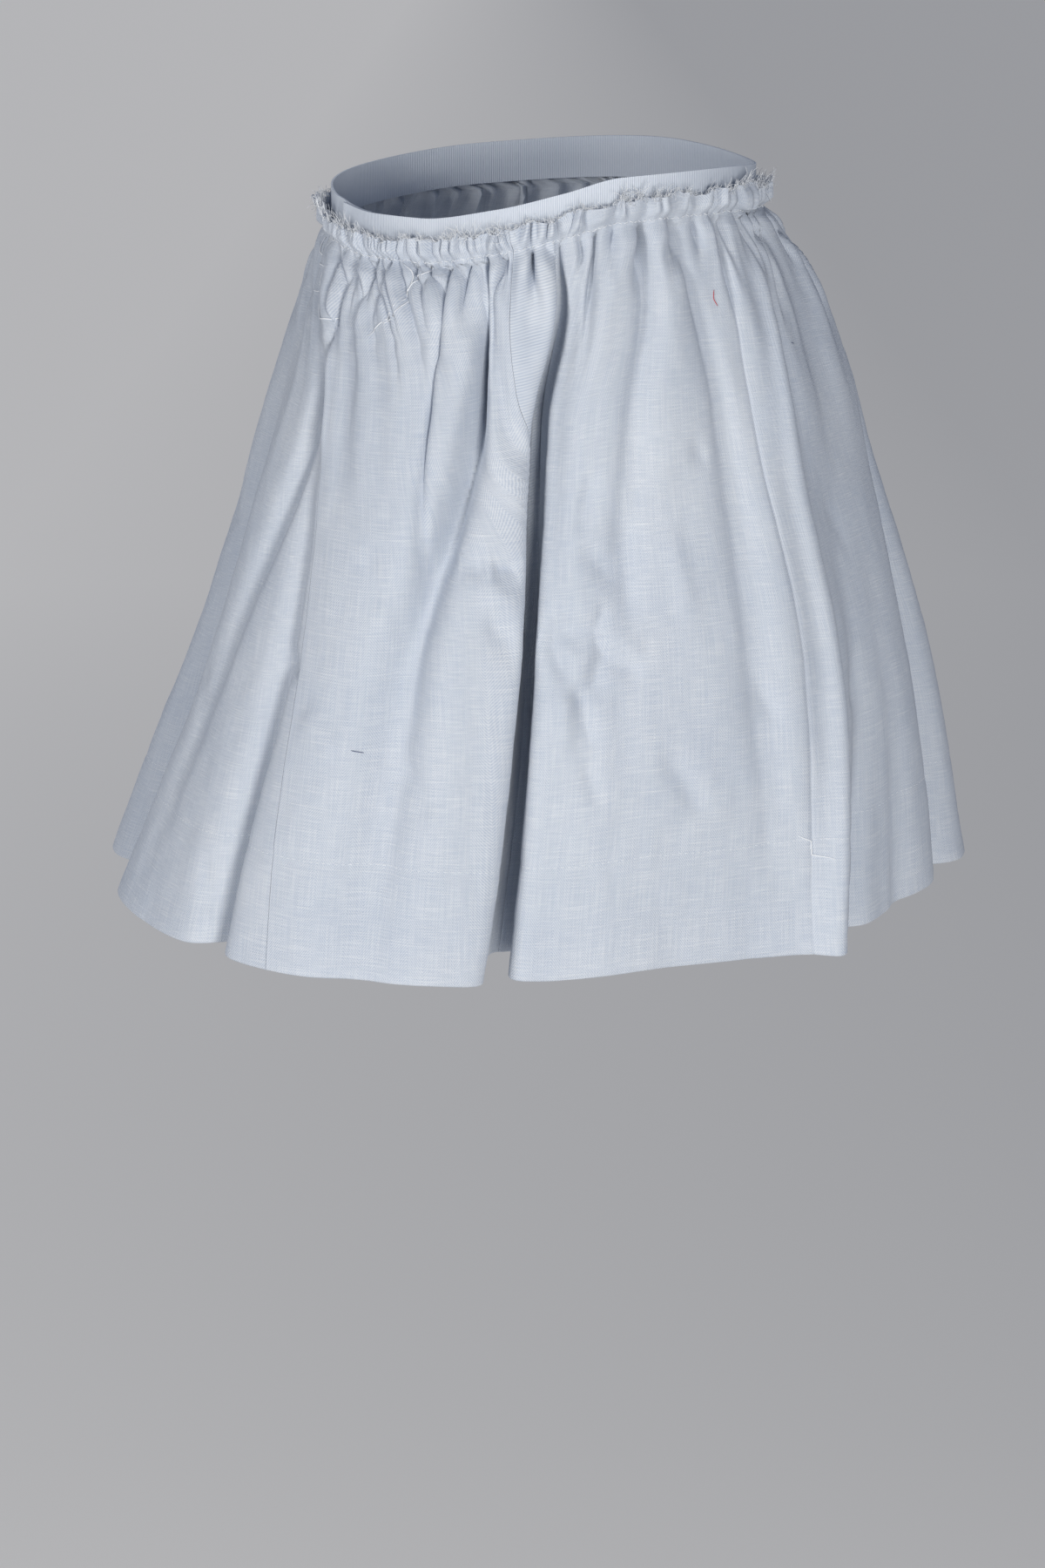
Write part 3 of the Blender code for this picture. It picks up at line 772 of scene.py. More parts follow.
# Direction across which a tube's rings are begun, and the share of its half over which it narrows
TUBE_ASIDE = (0.31, 0.22, 0.93)
TUBE_TIP = 1 / 3


def tubes(name, paths, radius, material, sides=4, tips=0.5):
    """Make many thin round threads as one mesh. Their ends narrow to a share of the radius."""
    points = []
    faces = []
    for path in paths:
        path = np.asarray(path, float)
        tangents = np.gradient(path, axis=0)
        tangents /= np.maximum(np.linalg.norm(tangents, axis=1, keepdims=True), 1e-12)
        side = np.cross(tangents, TUBE_ASIDE)
        side /= np.maximum(np.linalg.norm(side, axis=1, keepdims=True), 1e-12)
        other = np.cross(tangents, side)
        start = len(points)
        count = len(path)
        for ring in range(count):
            end = min(ring, count - 1 - ring) / (count - 1) * 2
            size = radius * (tips + (1 - tips) * min(1.0, end / TUBE_TIP))
            for step in range(sides):
                turn = 2 * math.pi * step / sides
                around = side[ring] * math.cos(turn) + other[ring] * math.sin(turn)
                points.append(path[ring] + around * size)
        for ring in range(count - 1):
            for step in range(sides):
                a = start + ring * sides + step
                b = start + ring * sides + (step + 1) % sides
                faces.append((a, b, b + sides, a + sides))
        faces.append(tuple(start + step for step in reversed(range(sides))))
        faces.append(tuple(start + (count - 1) * sides + step for step in range(sides)))
    return mesh_piece(name, [tuple(point) for point in points], faces, material)


def rounded_path(points, count):
    """Read a smooth path through a few points."""
    points = np.asarray(points, float)
    at = np.arange(len(points))
    fine = np.linspace(0, len(points) - 1, count)
    return np.stack([smooth_through(at, points[:, axis], fine) for axis in range(3)], axis=1)


class Recipe:
    """Builds a material's nodes."""

    def __init__(self, name):
        self.material = bpy.data.materials.new(name)
        self.material.use_nodes = True
        self.tree = self.material.node_tree
        self.shader = self.tree.nodes["Principled BSDF"]

    def node(self, kind, **settings):
        made = self.tree.nodes.new(kind)
        for key, value in settings.items():
            setattr(made, key, value)
        return made

    def put(self, socket, value):
        if isinstance(value, bpy.types.NodeSocket):
            self.tree.links.new(value, socket)
        else:
            socket.default_value = value

    def math(self, operation, *values):
        made = self.node("ShaderNodeMath", operation=operation)
        for socket, value in zip(made.inputs, values):
            self.put(socket, value)
        return made.outputs[0]

    def plus(self, base, value, share):
        """Add a share of one value to another one."""
        return self.math("MULTIPLY_ADD", value, share, base)

    def cut(self):
        """Give the two coordinates on the flat cut, in metres."""
        split = self.node("ShaderNodeSeparateXYZ")
        self.put(split.inputs[0], self.node("ShaderNodeUVMap", uv_map="cut").outputs[0])
        return split.outputs[0], split.outputs[1]

    def noise(self, across, along, across_scale, along_scale, detail=2.0):
        join = self.node("ShaderNodeCombineXYZ")
        self.put(join.inputs[0], self.math("MULTIPLY", across, across_scale))
        self.put(join.inputs[1], self.math("MULTIPLY", along, along_scale))
        made = self.node("ShaderNodeTexNoise", noise_dimensions="2D")
        self.put(made.inputs["Vector"], join.outputs[0])
        made.inputs["Scale"].default_value = 1.0
        made.inputs["Detail"].default_value = detail
        return made.outputs[0]

    def span(self, value, low, high, to_low, to_high):
        made = self.node("ShaderNodeMapRange", clamp=True)
        for socket, number in zip(made.inputs, (value, low, high, to_low, to_high)):
            self.put(socket, number)
        return made.outputs[0]

    def mix(self, share, first, second, blend="MIX"):
        made = self.node("ShaderNodeMix", data_type="RGBA", blend_type=blend)
        self.put(made.inputs[0], share)
        self.put(made.inputs[6], first)
        self.put(made.inputs[7], second)
        return made.outputs[2]

    def bump(self, height, distance, strength):
        made = self.node("ShaderNodeBump")
        made.inputs["Strength"].default_value = strength
        made.inputs["Distance"].default_value = distance
        self.put(made.inputs["Height"], height)
        self.put(self.shader.inputs["Normal"], made.outputs[0])

    def finish(self, colour, roughness, specular=0.2, sheen=0.0, sheen_roughness=0.5):
        self.put(self.shader.inputs["Base Color"], colour)
        self.put(self.shader.inputs["Roughness"], roughness)
        self.shader.inputs["Specular IOR Level"].default_value = specular
        self.shader.inputs["Sheen Weight"].default_value = sheen
        self.shader.inputs["Sheen Roughness"].default_value = sheen_roughness
        return self.material


# Linen: the stripes' width, the twill's pitch and slope, how the lines sway, the yarns' colours
STRIPE = 0.0085
TWILL_PITCH = 0.00165
TWILL_SLOPE = 1.375
SWAY_SCALE = 90
SWAY = 0.0007
YARN_BLUE = (0.352, 0.416, 0.530, 1)
YARN_PALE = (0.704, 0.734, 0.776, 1)

# Its tone: the twill's share in it, what it starts from, and the sum that makes the palest yarn
TWILL_TINT = 0.46
BASE_TINT = 0.10
FULL_TINT = 1.25

# Its uneven yarns, which are slubs, long slubs, the warp and slow changes of tone: scale across and
# along the cut, detail, the lowest and highest value in use, share in the tone and in the bumps
LINEN_NOISES = (
    (75, 1900, 1.0, 0.36, 0.76, 0.24, 0.6),
    (28, 1300, 0.0, 0.60, 0.80, 0.15, 0.5),
    (1300, 40, 1.0, 0.35, 0.75, 0.20, 0.5),
    (9, 13, 3.0, 0.30, 0.70, 0.16, 0.0),
)
LINEN_BUMP = 0.00012
BUMP_STRENGTH = 0.8

# Ribbon: the ribs' pitch, the yarns' colours, the shares of the ribs, the fibres and the slow
# changes in its tone, and that of the fibres in its bumps
RIB_PITCH = 0.0011
RIBBON_DARK = (0.440, 0.505, 0.610, 1)
RIBBON_PALE = (0.700, 0.745, 0.820, 1)
RIB_TINTS = (0.60, 0.25, 0.2)
FIBRE_RELIEF = 0.3
RIBBON_BUMP = 0.00020

# Threads: how often their colour changes along them
THREAD_SCALE = 900.0


def herringbone(name):
    """Make the linen: a fine herringbone whose stripes run down it, slubs and faint wear."""
    recipe = Recipe(name)
    across, along = recipe.cut()
    side = recipe.math("MULTIPLY", recipe.math("PINGPONG", across, STRIPE), TWILL_SLOPE)
    sway = recipe.noise(across, along, SWAY_SCALE, SWAY_SCALE)
    climb = recipe.plus(recipe.math("ADD", along, side), sway, SWAY)
    twill = recipe.math("SINE", recipe.math("MULTIPLY", climb, 2 * math.pi / TWILL_PITCH))
    twill = recipe.span(twill, -1.0, 1.0, 0.0, 1.0)
    share = recipe.plus(BASE_TINT, twill, TWILL_TINT)
    height = twill
    for across_scale, along_scale, detail, low, high, tint, relief in LINEN_NOISES:
        noisy = recipe.noise(across, along, across_scale, along_scale, detail)
        noisy = recipe.span(noisy, low, high, 0.0, 1.0)
        share = recipe.plus(share, noisy, tint)
        if relief:
            height = recipe.plus(height, noisy, relief)
    share = recipe.span(share, 0.0, FULL_TINT, 0.0, 1.0)
    recipe.bump(height, LINEN_BUMP, BUMP_STRENGTH)
    rough = recipe.span(share, 0.0, 1.0, 0.78, 0.92)
    return recipe.finish(recipe.mix(share, YARN_BLUE, YARN_PALE), rough, specular=0.18, sheen=0.10)


def grosgrain(name):
    """Make the ribbon: close upright ribs."""
    recipe = Recipe(name)
    across, along = recipe.cut()
    rib = recipe.math("SINE", recipe.math("MULTIPLY", across, 2 * math.pi / RIB_PITCH))
    rib = recipe.span(rib, -1.0, 1.0, 0.0, 1.0)
    fibre = recipe.noise(across, along, 3000, 300, 1.0)
    tone = recipe.span(recipe.noise(across, along, 12, 40, 2.0), 0.3, 0.7, 0.0, 1.0)
    share = recipe.math("MULTIPLY", rib, RIB_TINTS[0])
    share = recipe.plus(share, fibre, RIB_TINTS[1])
    share = recipe.plus(share, tone, RIB_TINTS[2])
    recipe.bump(recipe.plus(rib, fibre, FIBRE_RELIEF), RIBBON_BUMP, BUMP_STRENGTH)
    rough = recipe.span(rib, 0.0, 1.0, 0.62, 0.50)
    return recipe.finish(recipe.mix(share, RIBBON_DARK, RIBBON_PALE), rough, specular=0.35, sheen=0.05)


def yarn(name, dark, light):
    """Make a thread's material, a little uneven along it."""
    recipe = Recipe(name)
    place = recipe.node("ShaderNodeTexCoord")
    made = recipe.node("ShaderNodeTexNoise")
    made.inputs["Scale"].default_value = THREAD_SCALE
    recipe.put(made.inputs["Vector"], place.outputs["Object"])
    colour = recipe.mix(made.outputs[0], dark, light)
    recipe.bump(made.outputs[0], 0.0001, 0.5)
    return recipe.finish(colour, 0.8, specular=0.2, sheen=0.1)


# The ribbon's front end stands off a little over this many degrees
RIBBON_END_LIFT = 1.0 * MM
RIBBON_END_TURN = 7.0

# Points of the ribbon: columns, and rows as shares of its height; its looped edge; and how much
# thinner its look is than its solid
RIBBON_FINE_COLUMNS = 3000
RIBBON_SHARES = (1.0, 0.97, 0.90, 0.5, 0.10, 0.03, 0.0)
RIBBON_LOOP = 0.12 * MM
LOOP_SHARE = 0.03
RIBBON_THINNER = 0.05 * MM

cloth_material = herringbone("linen herringbone")
ribbon_material = grosgrain("grosgrain")
thread_material = yarn("pale thread", (0.66, 0.70, 0.77, 1), (0.88, 0.90, 0.92, 1))
pull_material = yarn("dark pulled yarn", (0.10, 0.12, 0.20, 1), (0.18, 0.21, 0.30, 1))
tack_material = yarn("red tack thread", (0.36, 0.02, 0.03, 1), (0.55, 0.05, 0.07, 1))

# The four panels
ROWS = row_distances()
PANEL_THREADS = panel_threads()
panels = []
for number, threads in enumerate(PANEL_THREADS):
    grid, normals, angles = build_panel(number, threads, ROWS)
    panels.append({"name": PANELS[number][0], "threads": threads, "grid": grid, "normals": normals,
                   "angles": angles})


def panel_at(thread):
    """Find the panel that a thread belongs to."""
    first = PANEL_THREADS[0][0]
    thread = (thread - first) % 360 + first
    for panel in panels:
        if panel["threads"][0] <= thread <= panel["threads"][-1]:
            return panel, thread
    raise ValueError(thread)


def on_cloth(thread, down, lift):
    """Give the point on a thread at a distance down, lifted off the cloth's outer face."""
    panel, thread = panel_at(thread)
    row = np.interp(down, ROWS, np.arange(len(ROWS)))
    column = np.interp(thread, panel["threads"], np.arange(len(panel["threads"])))
    i = min(int(row), len(ROWS) - 2)
    j = min(int(column), len(panel["threads"]) - 2)
    u, v = row - i, column - j
    weights = (((1 - u) * (1 - v), i, j), ((1 - u) * v, i, j + 1),
               (u * (1 - v), i + 1, j), (u * v, i + 1, j + 1))
    point = sum(w * panel["grid"][a, b] for w, a, b in weights)
    normal = sum(w * panel["normals"][a, b] for w, a, b in weights)
    return point + normal / np.linalg.norm(normal) * (HALF_CLOTH + lift)


def thread_at(deg, down):
    """Find the thread that passes an angle at a distance down."""
    number = int(np.argmin(np.abs(ROWS - down)))
    threads = np.concatenate([panel["threads"] for panel in panels])
    angles = np.concatenate([panel["angles"][number] for panel in panels])
    threads = np.concatenate([threads - 360, threads, threads + 360])
    angles = np.concatenate([angles - 360, angles, angles + 360])
    return float(np.interp(deg, angles, threads))


def laid(route, lift, count):
    """Lay a thread on the cloth along a route of angles and distances down."""
    route = np.array([(thread_at(deg, down), down, 0.0) for deg, down in route])
    return [on_cloth(thread, down, lift) for thread, down, _ in rounded_path(route, count)]


def make_panels():
    """Make the panels, each folded up inside at its hem, and say how each was cut."""
    made = []
    for panel in panels:
        threads, grid, normals = panel["threads"], panel["grid"].copy(), panel["normals"]
        # The two edges of a seam stand a little apart
        for end, beside in ((0, 1), (-1, -2)):
            way = grid[:, beside] - grid[:, end]
            grid[:, end] += way / np.linalg.norm(way, axis=1, keepdims=True) * SEAM_GAP / 2
        steps = np.linalg.norm(np.diff(grid, axis=0), axis=2).mean(axis=1, keepdims=True)
        along = np.concatenate([[[0.0]], np.cumsum(steps, axis=0)])
        middle_rows, normal_rows, along_rows = [grid], [normals], [along]
        half_rows = [np.full(len(ROWS), HALF_CLOTH)]
        low, out = grid[-1], normals[-1]
        fall = grid[-1] - grid[-2]
        fall /= np.linalg.norm(fall, axis=1, keepdims=True)
        reach = HALF_CLOTH + TURN_GAP + HALF_TURN
        pivot = low - out * reach / 2
        for step in range(1, FOLD_STEPS):
            turn = math.pi * step / FOLD_STEPS
            way = out * math.cos(turn) + fall * math.sin(turn)
            middle_rows.append((pivot + way * reach / 2)[None])
            normal_rows.append(way[None])
            half_rows.append(np.array([HALF_TURN]))
            along_rows.append(along[-1:] + FOLD_CUT * step / FOLD_STEPS)
        back = np.linspace(SKIRT_LENGTH, SKIRT_LENGTH - HEM_TURN_UP, TURN_ROWS)
        at = np.interp(back, ROWS, np.arange(len(ROWS)))
        i = np.minimum(at.astype(int), len(ROWS) - 2)
        u = (at - i)[:, None, None]
        inner_normals = normals[i] * (1 - u) + normals[i + 1] * u
        middle_rows.append(grid[i] * (1 - u) + grid[i + 1] * u - inner_normals * reach)
        normal_rows.append(-inner_normals)
        half_rows.append(np.full(TURN_ROWS, HALF_TURN))
        along_rows.append(along[-1:] + FOLD_CUT + (SKIRT_LENGTH - back)[:, None])
        across = hem_places(threads)
        middle, normals, half, along = (
            np.concatenate(listed) for listed in (middle_rows, normal_rows, half_rows, along_rows))
        piece = shell(panel["name"] + "_cloth", middle, normals, half, across[None], along, cloth_material)
        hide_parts(panel["name"])
        made.append((piece, float(across[-1] - across[0])))
    return made


def make_allowances():
    """Make the seam allowances inside, pressed to one side of each seam, down to the turned-up hem."""
    made = []
    rows = ROWS[(ROWS > ALLOWANCE_TOP) & (ROWS < SKIRT_LENGTH - HEM_TURN_UP - ALLOWANCE_TOP)]
    lift = -2 * HALF_CLOTH - TURN_GAP - HALF_ALLOWANCE
    for number, (name, _) in enumerate(SEAMS):
        grid = np.zeros((len(rows), len(ALLOWANCE_STEPS), 3))
        for row, down in enumerate(rows):
            at = int(np.argmin(np.abs(ROWS - down)))
            for column, reach in enumerate(ALLOWANCE_STEPS):
                panel, way = (panels[number - 1], -1) if reach < 0 else (panels[number], 1)
                length = length_along(panel["grid"][at][::way][:ALLOWANCE_COLUMNS])
                thread = np.interp(abs(reach), length, panel["threads"][::way][:ALLOWANCE_COLUMNS])
                grid[row, column] = on_cloth(float(thread), down, lift)
        across = np.array(ALLOWANCE_STEPS)[None]
        piece = shell(name.replace(" ", "_") + "_allowance", grid, surface_normals(grid),
                      HALF_ALLOWANCE, across, (rows - rows[0])[:, None], cloth_material)
        made.append((piece, (ALLOWANCE_STEPS[-1] - ALLOWANCE_STEPS[0], float(rows[-1] - rows[0]))))
    return made


def make_ribbon():
    """Make the ribbon, its edges looped and a little wavy, its front end over the other one."""
    deg = np.linspace(RIBBON_FRONT_END, RIBBON_FRONT_END + 360 + RIBBON_LAP, RIBBON_FINE_COLUMNS)
    under = smooth_step((deg - (RIBBON_FRONT_END + 360 - LAP_START)) / LAP_BLEND)
    radius = waist_radius(deg) - under * (RIBBON_WALL + SEAM_GAP) - RIBBON_WALL / 2
    radius += RIBBON_END_LIFT * (1 - smooth_step((deg - RIBBON_FRONT_END) / RIBBON_END_TURN)) ** 2
    length = length_along(polar(deg, radius, np.zeros_like(deg)))
    loops = RIBBON_LOOP * np.sin(length * 2 * math.pi / RIB_PITCH)
    rows = []
    for up in RIBBON_SHARES:
        edge = loops * (bell(up - 1, LOOP_SHARE) - bell(up, LOOP_SHARE))
        height = stitch_height(deg) - RIBBON_BELOW + (RIBBON_ABOVE + RIBBON_BELOW) * up + edge
        rows.append(polar(deg, radius, height))
    grid = np.array(rows)
    along = np.array(RIBBON_SHARES)[:, None] * (RIBBON_ABOVE + RIBBON_BELOW)
    piece = shell("waist_ribbon_cloth", grid, surface_normals(grid), RIBBON_WALL / 2 - RIBBON_THINNER,
                  length[None], along, ribbon_material)
    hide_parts("waist_ribbon")
    return piece, float(length[-1])


# Stitches: the points at which a panel's row is measured, how far they stay from its ends in
# degrees, the least and greatest share of the stitch and of the gap, and how far they stray
STITCH_SPOTS = 1500
STITCH_MARGIN = 0.1
STITCH_POINTS = 5
STITCH_SIZES = (0.86, 1.08)
STITCH_GAPS = (0.8, 1.3)
FIRST_GAP = 0.4
STITCH_STRAY = 0.25 * MM
STITCH_SINK = 0.3 * MM


def row_stitches(down, stitch, gap, lift, slant=0.0):
    """Lay a row of stitches round the cloth at a distance down, slanting to and fro."""
    paths = []
    sew = random.Random(11)
    for panel in panels:
        ends = panel["threads"][0] + STITCH_MARGIN, panel["threads"][-1] - STITCH_MARGIN
        threads = np.linspace(*ends, STITCH_SPOTS)
        length = length_along(np.array([on_cloth(thread, down, 0.0) for thread in threads]))
        at = FIRST_GAP * gap
        while at + stitch < length[-1]:
            size = stitch * sew.uniform(*STITCH_SIZES)
            spots = np.interp(np.linspace(at, at + size, STITCH_POINTS), length, threads)
            level = down + sew.uniform(-STITCH_STRAY, STITCH_STRAY)
            rise = np.sin(np.linspace(0, math.pi, STITCH_POINTS)) * (lift + STITCH_SINK) - STITCH_SINK
            slope = np.linspace(-slant, slant, STITCH_POINTS) * (1 if len(paths) % 2 else -1)
            paths.append([on_cloth(*place) for place in zip(spots, level + slope, rise)])
            at += size + gap * sew.uniform(*STITCH_GAPS)
    return paths


UP = np.array([0, 0, 1.0])


def ways(deg):
    """Give the directions outward and along the waist at an angle."""
    turn = math.radians(deg)
    outward = np.array([math.sin(turn), -math.cos(turn), 0.0])
    return outward, np.array([math.cos(turn), math.sin(turn), 0.0])


# Frayed yarns: how many, and the angles round which they are longer, with half widths
FRAY_COUNT = 3600
RAGGED = ((-34, 14), (97, 4), (112, 8), (22, 8), (64, 9), (160, 14), (230, 12), (300, 10))

# They are short or long, by this chance and how much less it is where they are ragged; lengths in
# millimetres, and what is added where they are ragged; then how they start, turn and lean out
FRAY_SHORT = (0.76, 0.35)
FRAY_LENGTHS = ((1.2, 3.2), (2.6, 6.5))
FRAY_LONGER = 4.0
FRAY_ROOT = 0.9
FRAY_SINK = (-0.4, 0.5)
FRAY_TURNS = (0.8, 2.8)
FRAY_OUT = (-0.10, 0.35)
HAIR_STEPS = 6
HAIR_OUTER = 0.3

# Curled threads at the end of the ribbon's lap: how many, their angles, sizes in millimetres, the
# turn at which they begin, how far they turn, how flat they are, and how far out they go
CURL_COUNT = 16
CURL_ANGLES = (-60, -40)
CURL_SIZES = (2.0, 4.5)
CURL_BEGIN = (-0.4, 0.8)
CURL_SWEEP = (3.0, 5.2)
CURL_STEPS = 15
CURL_FLAT = 0.8
CURL_OUT = (1.0, 2.0)

# Short yarns of the ribbon's cut end: how many, lengths in millimetres, bend, sway, points
END_HAIRS = 90
END_LENGTHS = (0.6, 2.2)
END_BEND = 0.5
END_SWAY = (-0.1, 0.2)
END_ROOT = 0.3
END_STEPS = 4


def hair(root, thread, length, rise, curl, out):
    """Grow one curly yarn from a root on the heading's edge."""
    outward, side = ways(thread)
    path = [root]
    for step in range(HAIR_STEPS):
        way = rise + curl * step / HAIR_STEPS
        path.append(path[-1] + length / HAIR_STEPS * (
            UP * math.cos(way) + side * math.sin(way) + outward * out * (1 + HAIR_OUTER * step)))
    return path


def frayed_edge():
    """Grow the frayed yarns of the raw heading edge."""
    sew = random.Random(23)
    paths = []
    for _ in range(FRAY_COUNT):
        thread = sew.uniform(RIBBON_FRONT_END, RIBBON_FRONT_END + 360)
        ragged = max(math.exp(-((thread - deg) / half) ** 2) for deg, half in RAGGED)
        level = -FRILL_HEIGHT + sew.uniform(0.0, FRAY_ROOT) * MM
        root = on_cloth(thread, level, -HALF_CLOTH + sew.uniform(*FRAY_SINK) * MM)
        short, long = FRAY_LENGTHS
        if sew.random() < FRAY_SHORT[0] - FRAY_SHORT[1] * ragged:
            length = sew.uniform(*short) * MM
        else:
            length = sew.uniform(long[0], long[1] + FRAY_LONGER * ragged) * MM
        turns = [sew.gauss(0, spread) for spread in FRAY_TURNS]
        paths.append(hair(root, thread, length, *turns, sew.uniform(*FRAY_OUT)))
    return paths


def curls():
    """Lay the long curled threads that hang at the right end of the ribbon's lap."""
    sew = random.Random(5)
    paths = []
    for _ in range(CURL_COUNT):
        thread = sew.uniform(*CURL_ANGLES) % 360
        top = on_cloth(thread, -FRILL_HEIGHT, 0.0)
        outward, side = ways(thread)
        size = sew.uniform(*CURL_SIZES) * MM
        begin = sew.uniform(*CURL_BEGIN)
        sweep = sew.uniform(*CURL_SWEEP) * sew.choice((-1, 1))
        path = []
        for share in np.linspace(0, 1, CURL_STEPS + 1):
            way = begin + sweep * share
            path.append(top + (side * math.sin(way) + UP * (1 - math.cos(way)) * CURL_FLAT) * size
                        + outward * (CURL_OUT[0] + CURL_OUT[1] * share) * MM)
        paths.append(path)
    return paths


def ribbon_end_hairs():
    """Grow the short yarns of the ribbon's cut front end."""
    sew = random.Random(3)
    outward, side = ways(RIBBON_FRONT_END)
    radius = float(waist_radius(RIBBON_FRONT_END)) + RIBBON_END_LIFT - RIBBON_WALL / 2
    low = float(stitch_height(RIBBON_FRONT_END)) - RIBBON_BELOW
    paths = []
    for _ in range(END_HAIRS):
        root = outward * radius + UP * (low + sew.uniform(0.0, RIBBON_ABOVE + RIBBON_BELOW))
        length = sew.uniform(*END_LENGTHS) * MM
        bend = sew.gauss(0, END_BEND)
        path = [root + side * END_ROOT * MM]
        for step in range(1, END_STEPS + 1):
            share = step / END_STEPS
            path.append(root - side * length * share + UP * bend * length * share ** 2
                        + outward * sew.uniform(*END_SWAY) * MM)
        paths.append(path)
    return paths


made = make_panels()
allowances = make_allowances()
ribbon, ribbon_length = make_ribbon()

# Rows of stitches: distance down, stitch, gap, how far it stands out, slant
GATHER_ROW = (0.0003, 2.4 * MM, 0.5 * MM, 0.40 * MM, 0.55 * MM)
HEM_ROW = (HEM_STITCHES, 2.7 * MM, 0.9 * MM, 0.12 * MM)
gather_stitches = tubes("gather_stitches", row_stitches(*GATHER_ROW), 0.24 * MM, thread_material)
hem_stitches = tubes("hem_stitches", row_stitches(*HEM_ROW), 0.17 * MM, thread_material)
frayed = frayed_edge() + ribbon_end_hairs()
fray = tubes("frayed_edge", frayed, 0.14 * MM, thread_material, sides=3, tips=0.4)

# Loose threads left on the outside, two dark pulled yarns and a red tack: angle and distance down
# of each point of the route
LOOSE_THREADS = (
    ((-52, 0.004), (-51, 0.012), (-46, 0.016), (-40, 0.016), (-38, 0.022), (-41, 0.029), (-44, 0.030)),
    ((-38, 0.020), (-38, 0.028), (-36, 0.034), (-31, 0.038), (-27, 0.037), (-25, 0.032)),
    ((-4, 0.002), (0, 0.006), (1, 0.012), (0, 0.018), (-2, 0.026), (-4, 0.031), (-8, 0.037), (-9, 0.042)),
    ((8, 0.004), (4, 0.007), (1, 0.014), (0.5, 0.022), (-2, 0.030), (-5, 0.034)),
    ((86, 0.314), (88, 0.319), (87.5, 0.324), (90, 0.327)),
    ((92, 0.323), (94, 0.326), (93, 0.330)),
    ((97, 0.334), (99, 0.337), (98.5, 0.341)),
)
DARK_PULLS = (((6.2, 0.2580), (7.8, 0.2592)), ((99.6, 0.0670), (100.6, 0.0676)))
RED_TACK = ((80, 0.037), (79.6, 0.041), (80.2, 0.045))
loose = [laid(route, 0.40 * MM, 24) for route in LOOSE_THREADS] + curls()
loose_threads = tubes("loose_threads", loose, 0.36 * MM, thread_material, sides=5)
pulls = [laid(route, 0.25 * MM, 7) for route in DARK_PULLS]
dark_pulls = tubes("dark_pulls", pulls, 0.30 * MM, pull_material, sides=5)
tack = laid(RED_TACK, 0.2 * MM, 9)
red_tack = tubes("red_tack", [tack], 0.22 * MM, tack_material, sides=5)

trims = (gather_stitches, hem_stitches, fray, loose_threads, dark_pulls, red_tack)
for piece, width in made:
    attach(piece, "root")
for piece, flat in allowances:
    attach(piece, "root")
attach(ribbon, "root")
for piece in trims:
    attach(piece, "root")

# Stage: a wide pale floor far below, as a wearer's feet would stand on it. It glows with painted light,
# brighter far off and on the camera's left, dimmer to its right
FLOOR_HEIGHT = -1.10
FLOOR_REACH = 60.0
FLOOR_COLOUR = (0.50, 0.50, 0.50, 1)
# Painted light on the floor: the turn of the line across which it dims, the distances over which it rises
# from near to far, its shares near and far, its shares on the left and right, and its colour and strength
FLOOR_SHADE_TURN = 39.0
FLOOR_DISTANCES = (1.4, 4.5)
FLOOR_PAINTED_LIGHT_NEAR_FAR = (0.78, 1.0)
FLOOR_PAINTED_LIGHT_LEFT_RIGHT = (1.0, 0.66)
FLOOR_PAINTED_LIGHT_COLOUR = (1.0, 0.97, 0.93, 1)
FLOOR_PAINTED_LIGHT_STRENGTH = 0.41


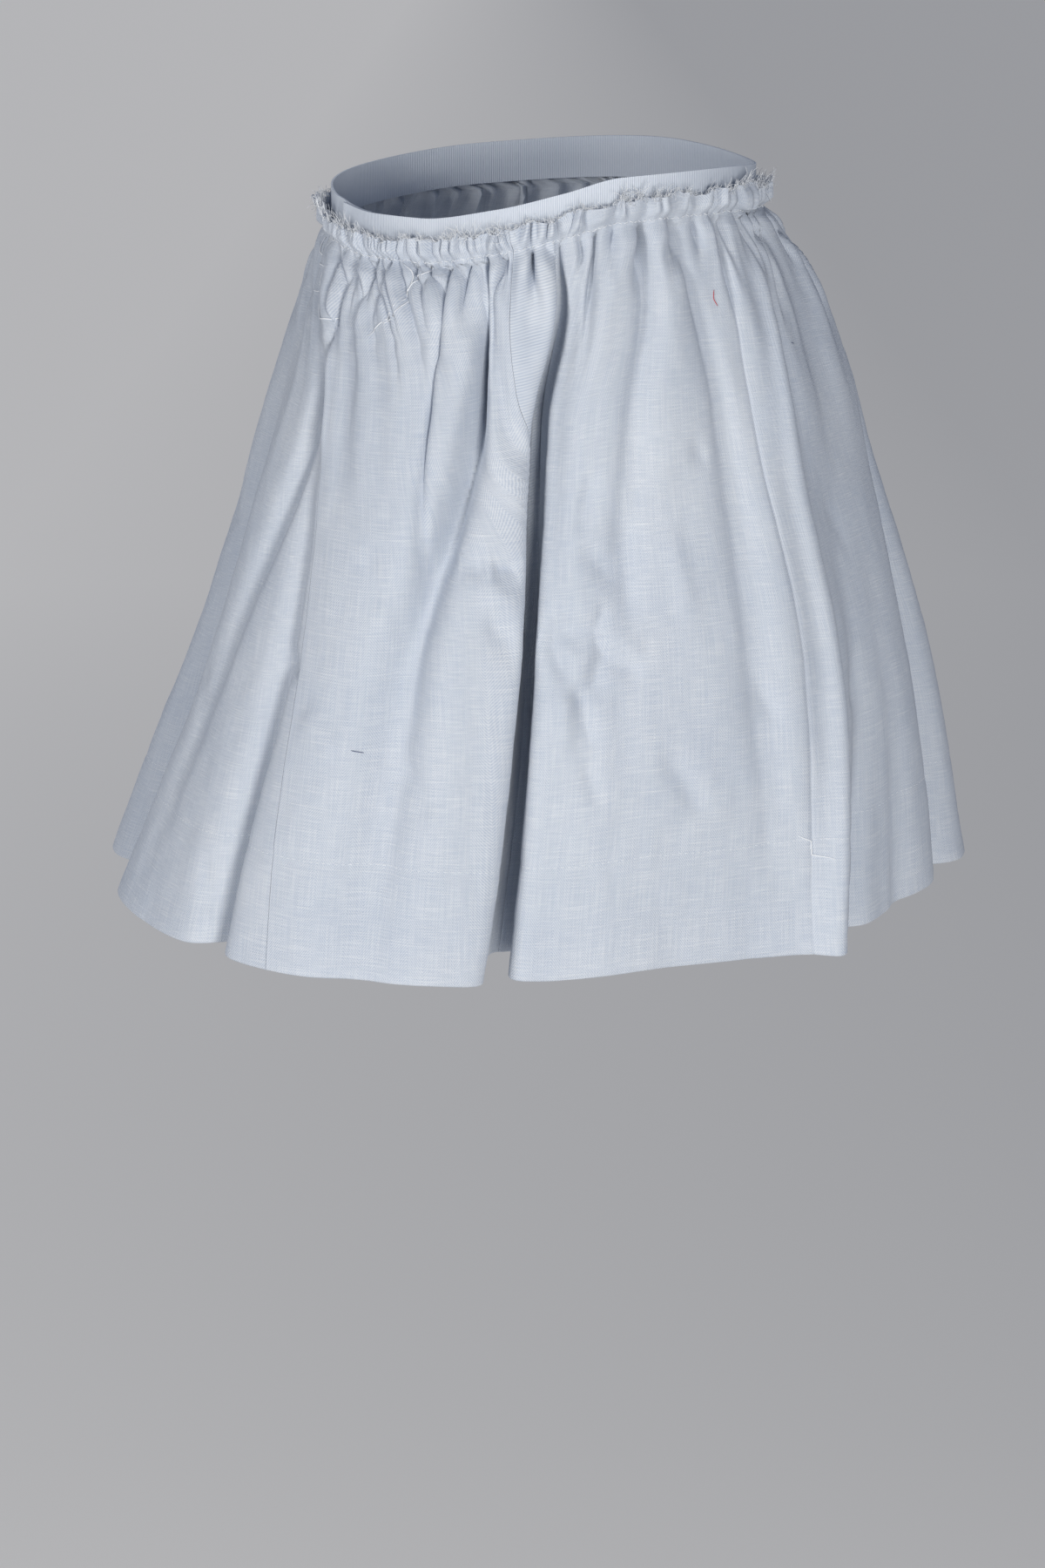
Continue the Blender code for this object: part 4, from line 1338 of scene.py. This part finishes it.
def make_stage():
    """Make the floor, which glows with painted light, the lights and the sky's plain light."""
    recipe = Recipe("floor with painted light")
    place = recipe.node("ShaderNodeTexCoord").outputs["Object"]
    far = recipe.node("ShaderNodeVectorMath", operation="LENGTH")
    recipe.put(far.inputs[0], place)
    aside = recipe.node("ShaderNodeVectorMath", operation="DOT_PRODUCT")
    recipe.put(aside.inputs[0], place)
    turn = math.radians(FLOOR_SHADE_TURN)
    aside.inputs[1].default_value = (math.cos(turn), math.sin(turn), 0)
    away = recipe.span(far.outputs["Value"], *FLOOR_DISTANCES, *FLOOR_PAINTED_LIGHT_NEAR_FAR)
    # The floor's glow is painted light: stronger far off and on the camera's left, weaker to its right
    tone = recipe.math("MULTIPLY", away, recipe.span(aside.outputs["Value"], -1.0, 1.0, *FLOOR_PAINTED_LIGHT_LEFT_RIGHT))
    floor_material = recipe.finish(FLOOR_COLOUR, 0.9, specular=0.1)
    recipe.put(recipe.shader.inputs["Emission Color"], recipe.mix(tone, (0, 0, 0, 1), FLOOR_PAINTED_LIGHT_COLOUR))
    recipe.shader.inputs["Emission Strength"].default_value = FLOOR_PAINTED_LIGHT_STRENGTH
    sides = ((-1, -1), (1, -1), (1, 1), (-1, 1))
    corners = [(x * FLOOR_REACH, y * FLOOR_REACH, FLOOR_HEIGHT) for x, y in sides]
    mesh_piece("floor", corners, [(0, 1, 2, 3)], floor_material)
    world = bpy.data.worlds.new("studio")
    world.use_nodes = True
    world.node_tree.nodes["Background"].inputs[0].default_value = WORLD_COLOUR
    world.node_tree.nodes["Background"].inputs[1].default_value = WORLD_LIGHT
    bpy.context.scene.world = world
    for name, azimuth, elevation, distance, size, energy in LIGHTS:
        light = bpy.data.lights.new(name, "AREA")
        light.shape = "DISK"
        light.size = size
        light.energy = energy
        light.color = LIGHT_COLOUR
        lamp = placed(name, light)
        turn, tilt = math.radians(azimuth), math.radians(elevation)
        way = Vector((math.sin(turn) * math.cos(tilt), -math.cos(turn) * math.cos(tilt), math.sin(tilt)))
        lamp.location = Vector((0, 0, LIGHT_AIM)) + way * distance
        lamp.rotation_euler = way.to_track_quat("Z", "Y").to_euler()


# Lights: name, azimuth, elevation, distance, size, watts
WORLD_LIGHT = 0.145
WORLD_COLOUR = (0.66, 0.84, 1.26, 1)
LIGHT_COLOUR = (1.0, 0.965, 0.90)
LIGHT_AIM = -0.36
LIGHTS = (
    ("key", -8, 20, 2.2, 0.8, 19.4),
    ("second", 52, 8, 1.9, 0.5, 21),
)

# Camera, at the photograph's viewing angle
CAMERA_AZIMUTH = 39.0
CAMERA_DISTANCE = 1.9
CAMERA_HEIGHT = 0.191
CAMERA_PITCH = 15.07
CAMERA_ASIDE = -0.010
CAMERA_LENS = 80.0
CAMERA_SENSOR = 36.0


def make_camera():
    """Make the camera."""
    turn = math.radians(CAMERA_AZIMUTH)
    back = Vector((math.sin(turn), -math.cos(turn), 0))
    right = Vector((math.cos(turn), math.sin(turn), 0))
    camera = placed("camera", bpy.data.cameras.new("camera"))
    camera.data.lens = CAMERA_LENS
    camera.data.sensor_width = CAMERA_SENSOR
    camera.location = back * CAMERA_DISTANCE + right * CAMERA_ASIDE + Vector((0, 0, CAMERA_HEIGHT))
    camera.rotation_euler = (math.radians(90 - CAMERA_PITCH), 0, turn)
    bpy.context.scene.camera = camera


make_stage()
make_camera()
bpy.context.scene.view_settings.view_transform = "Standard"
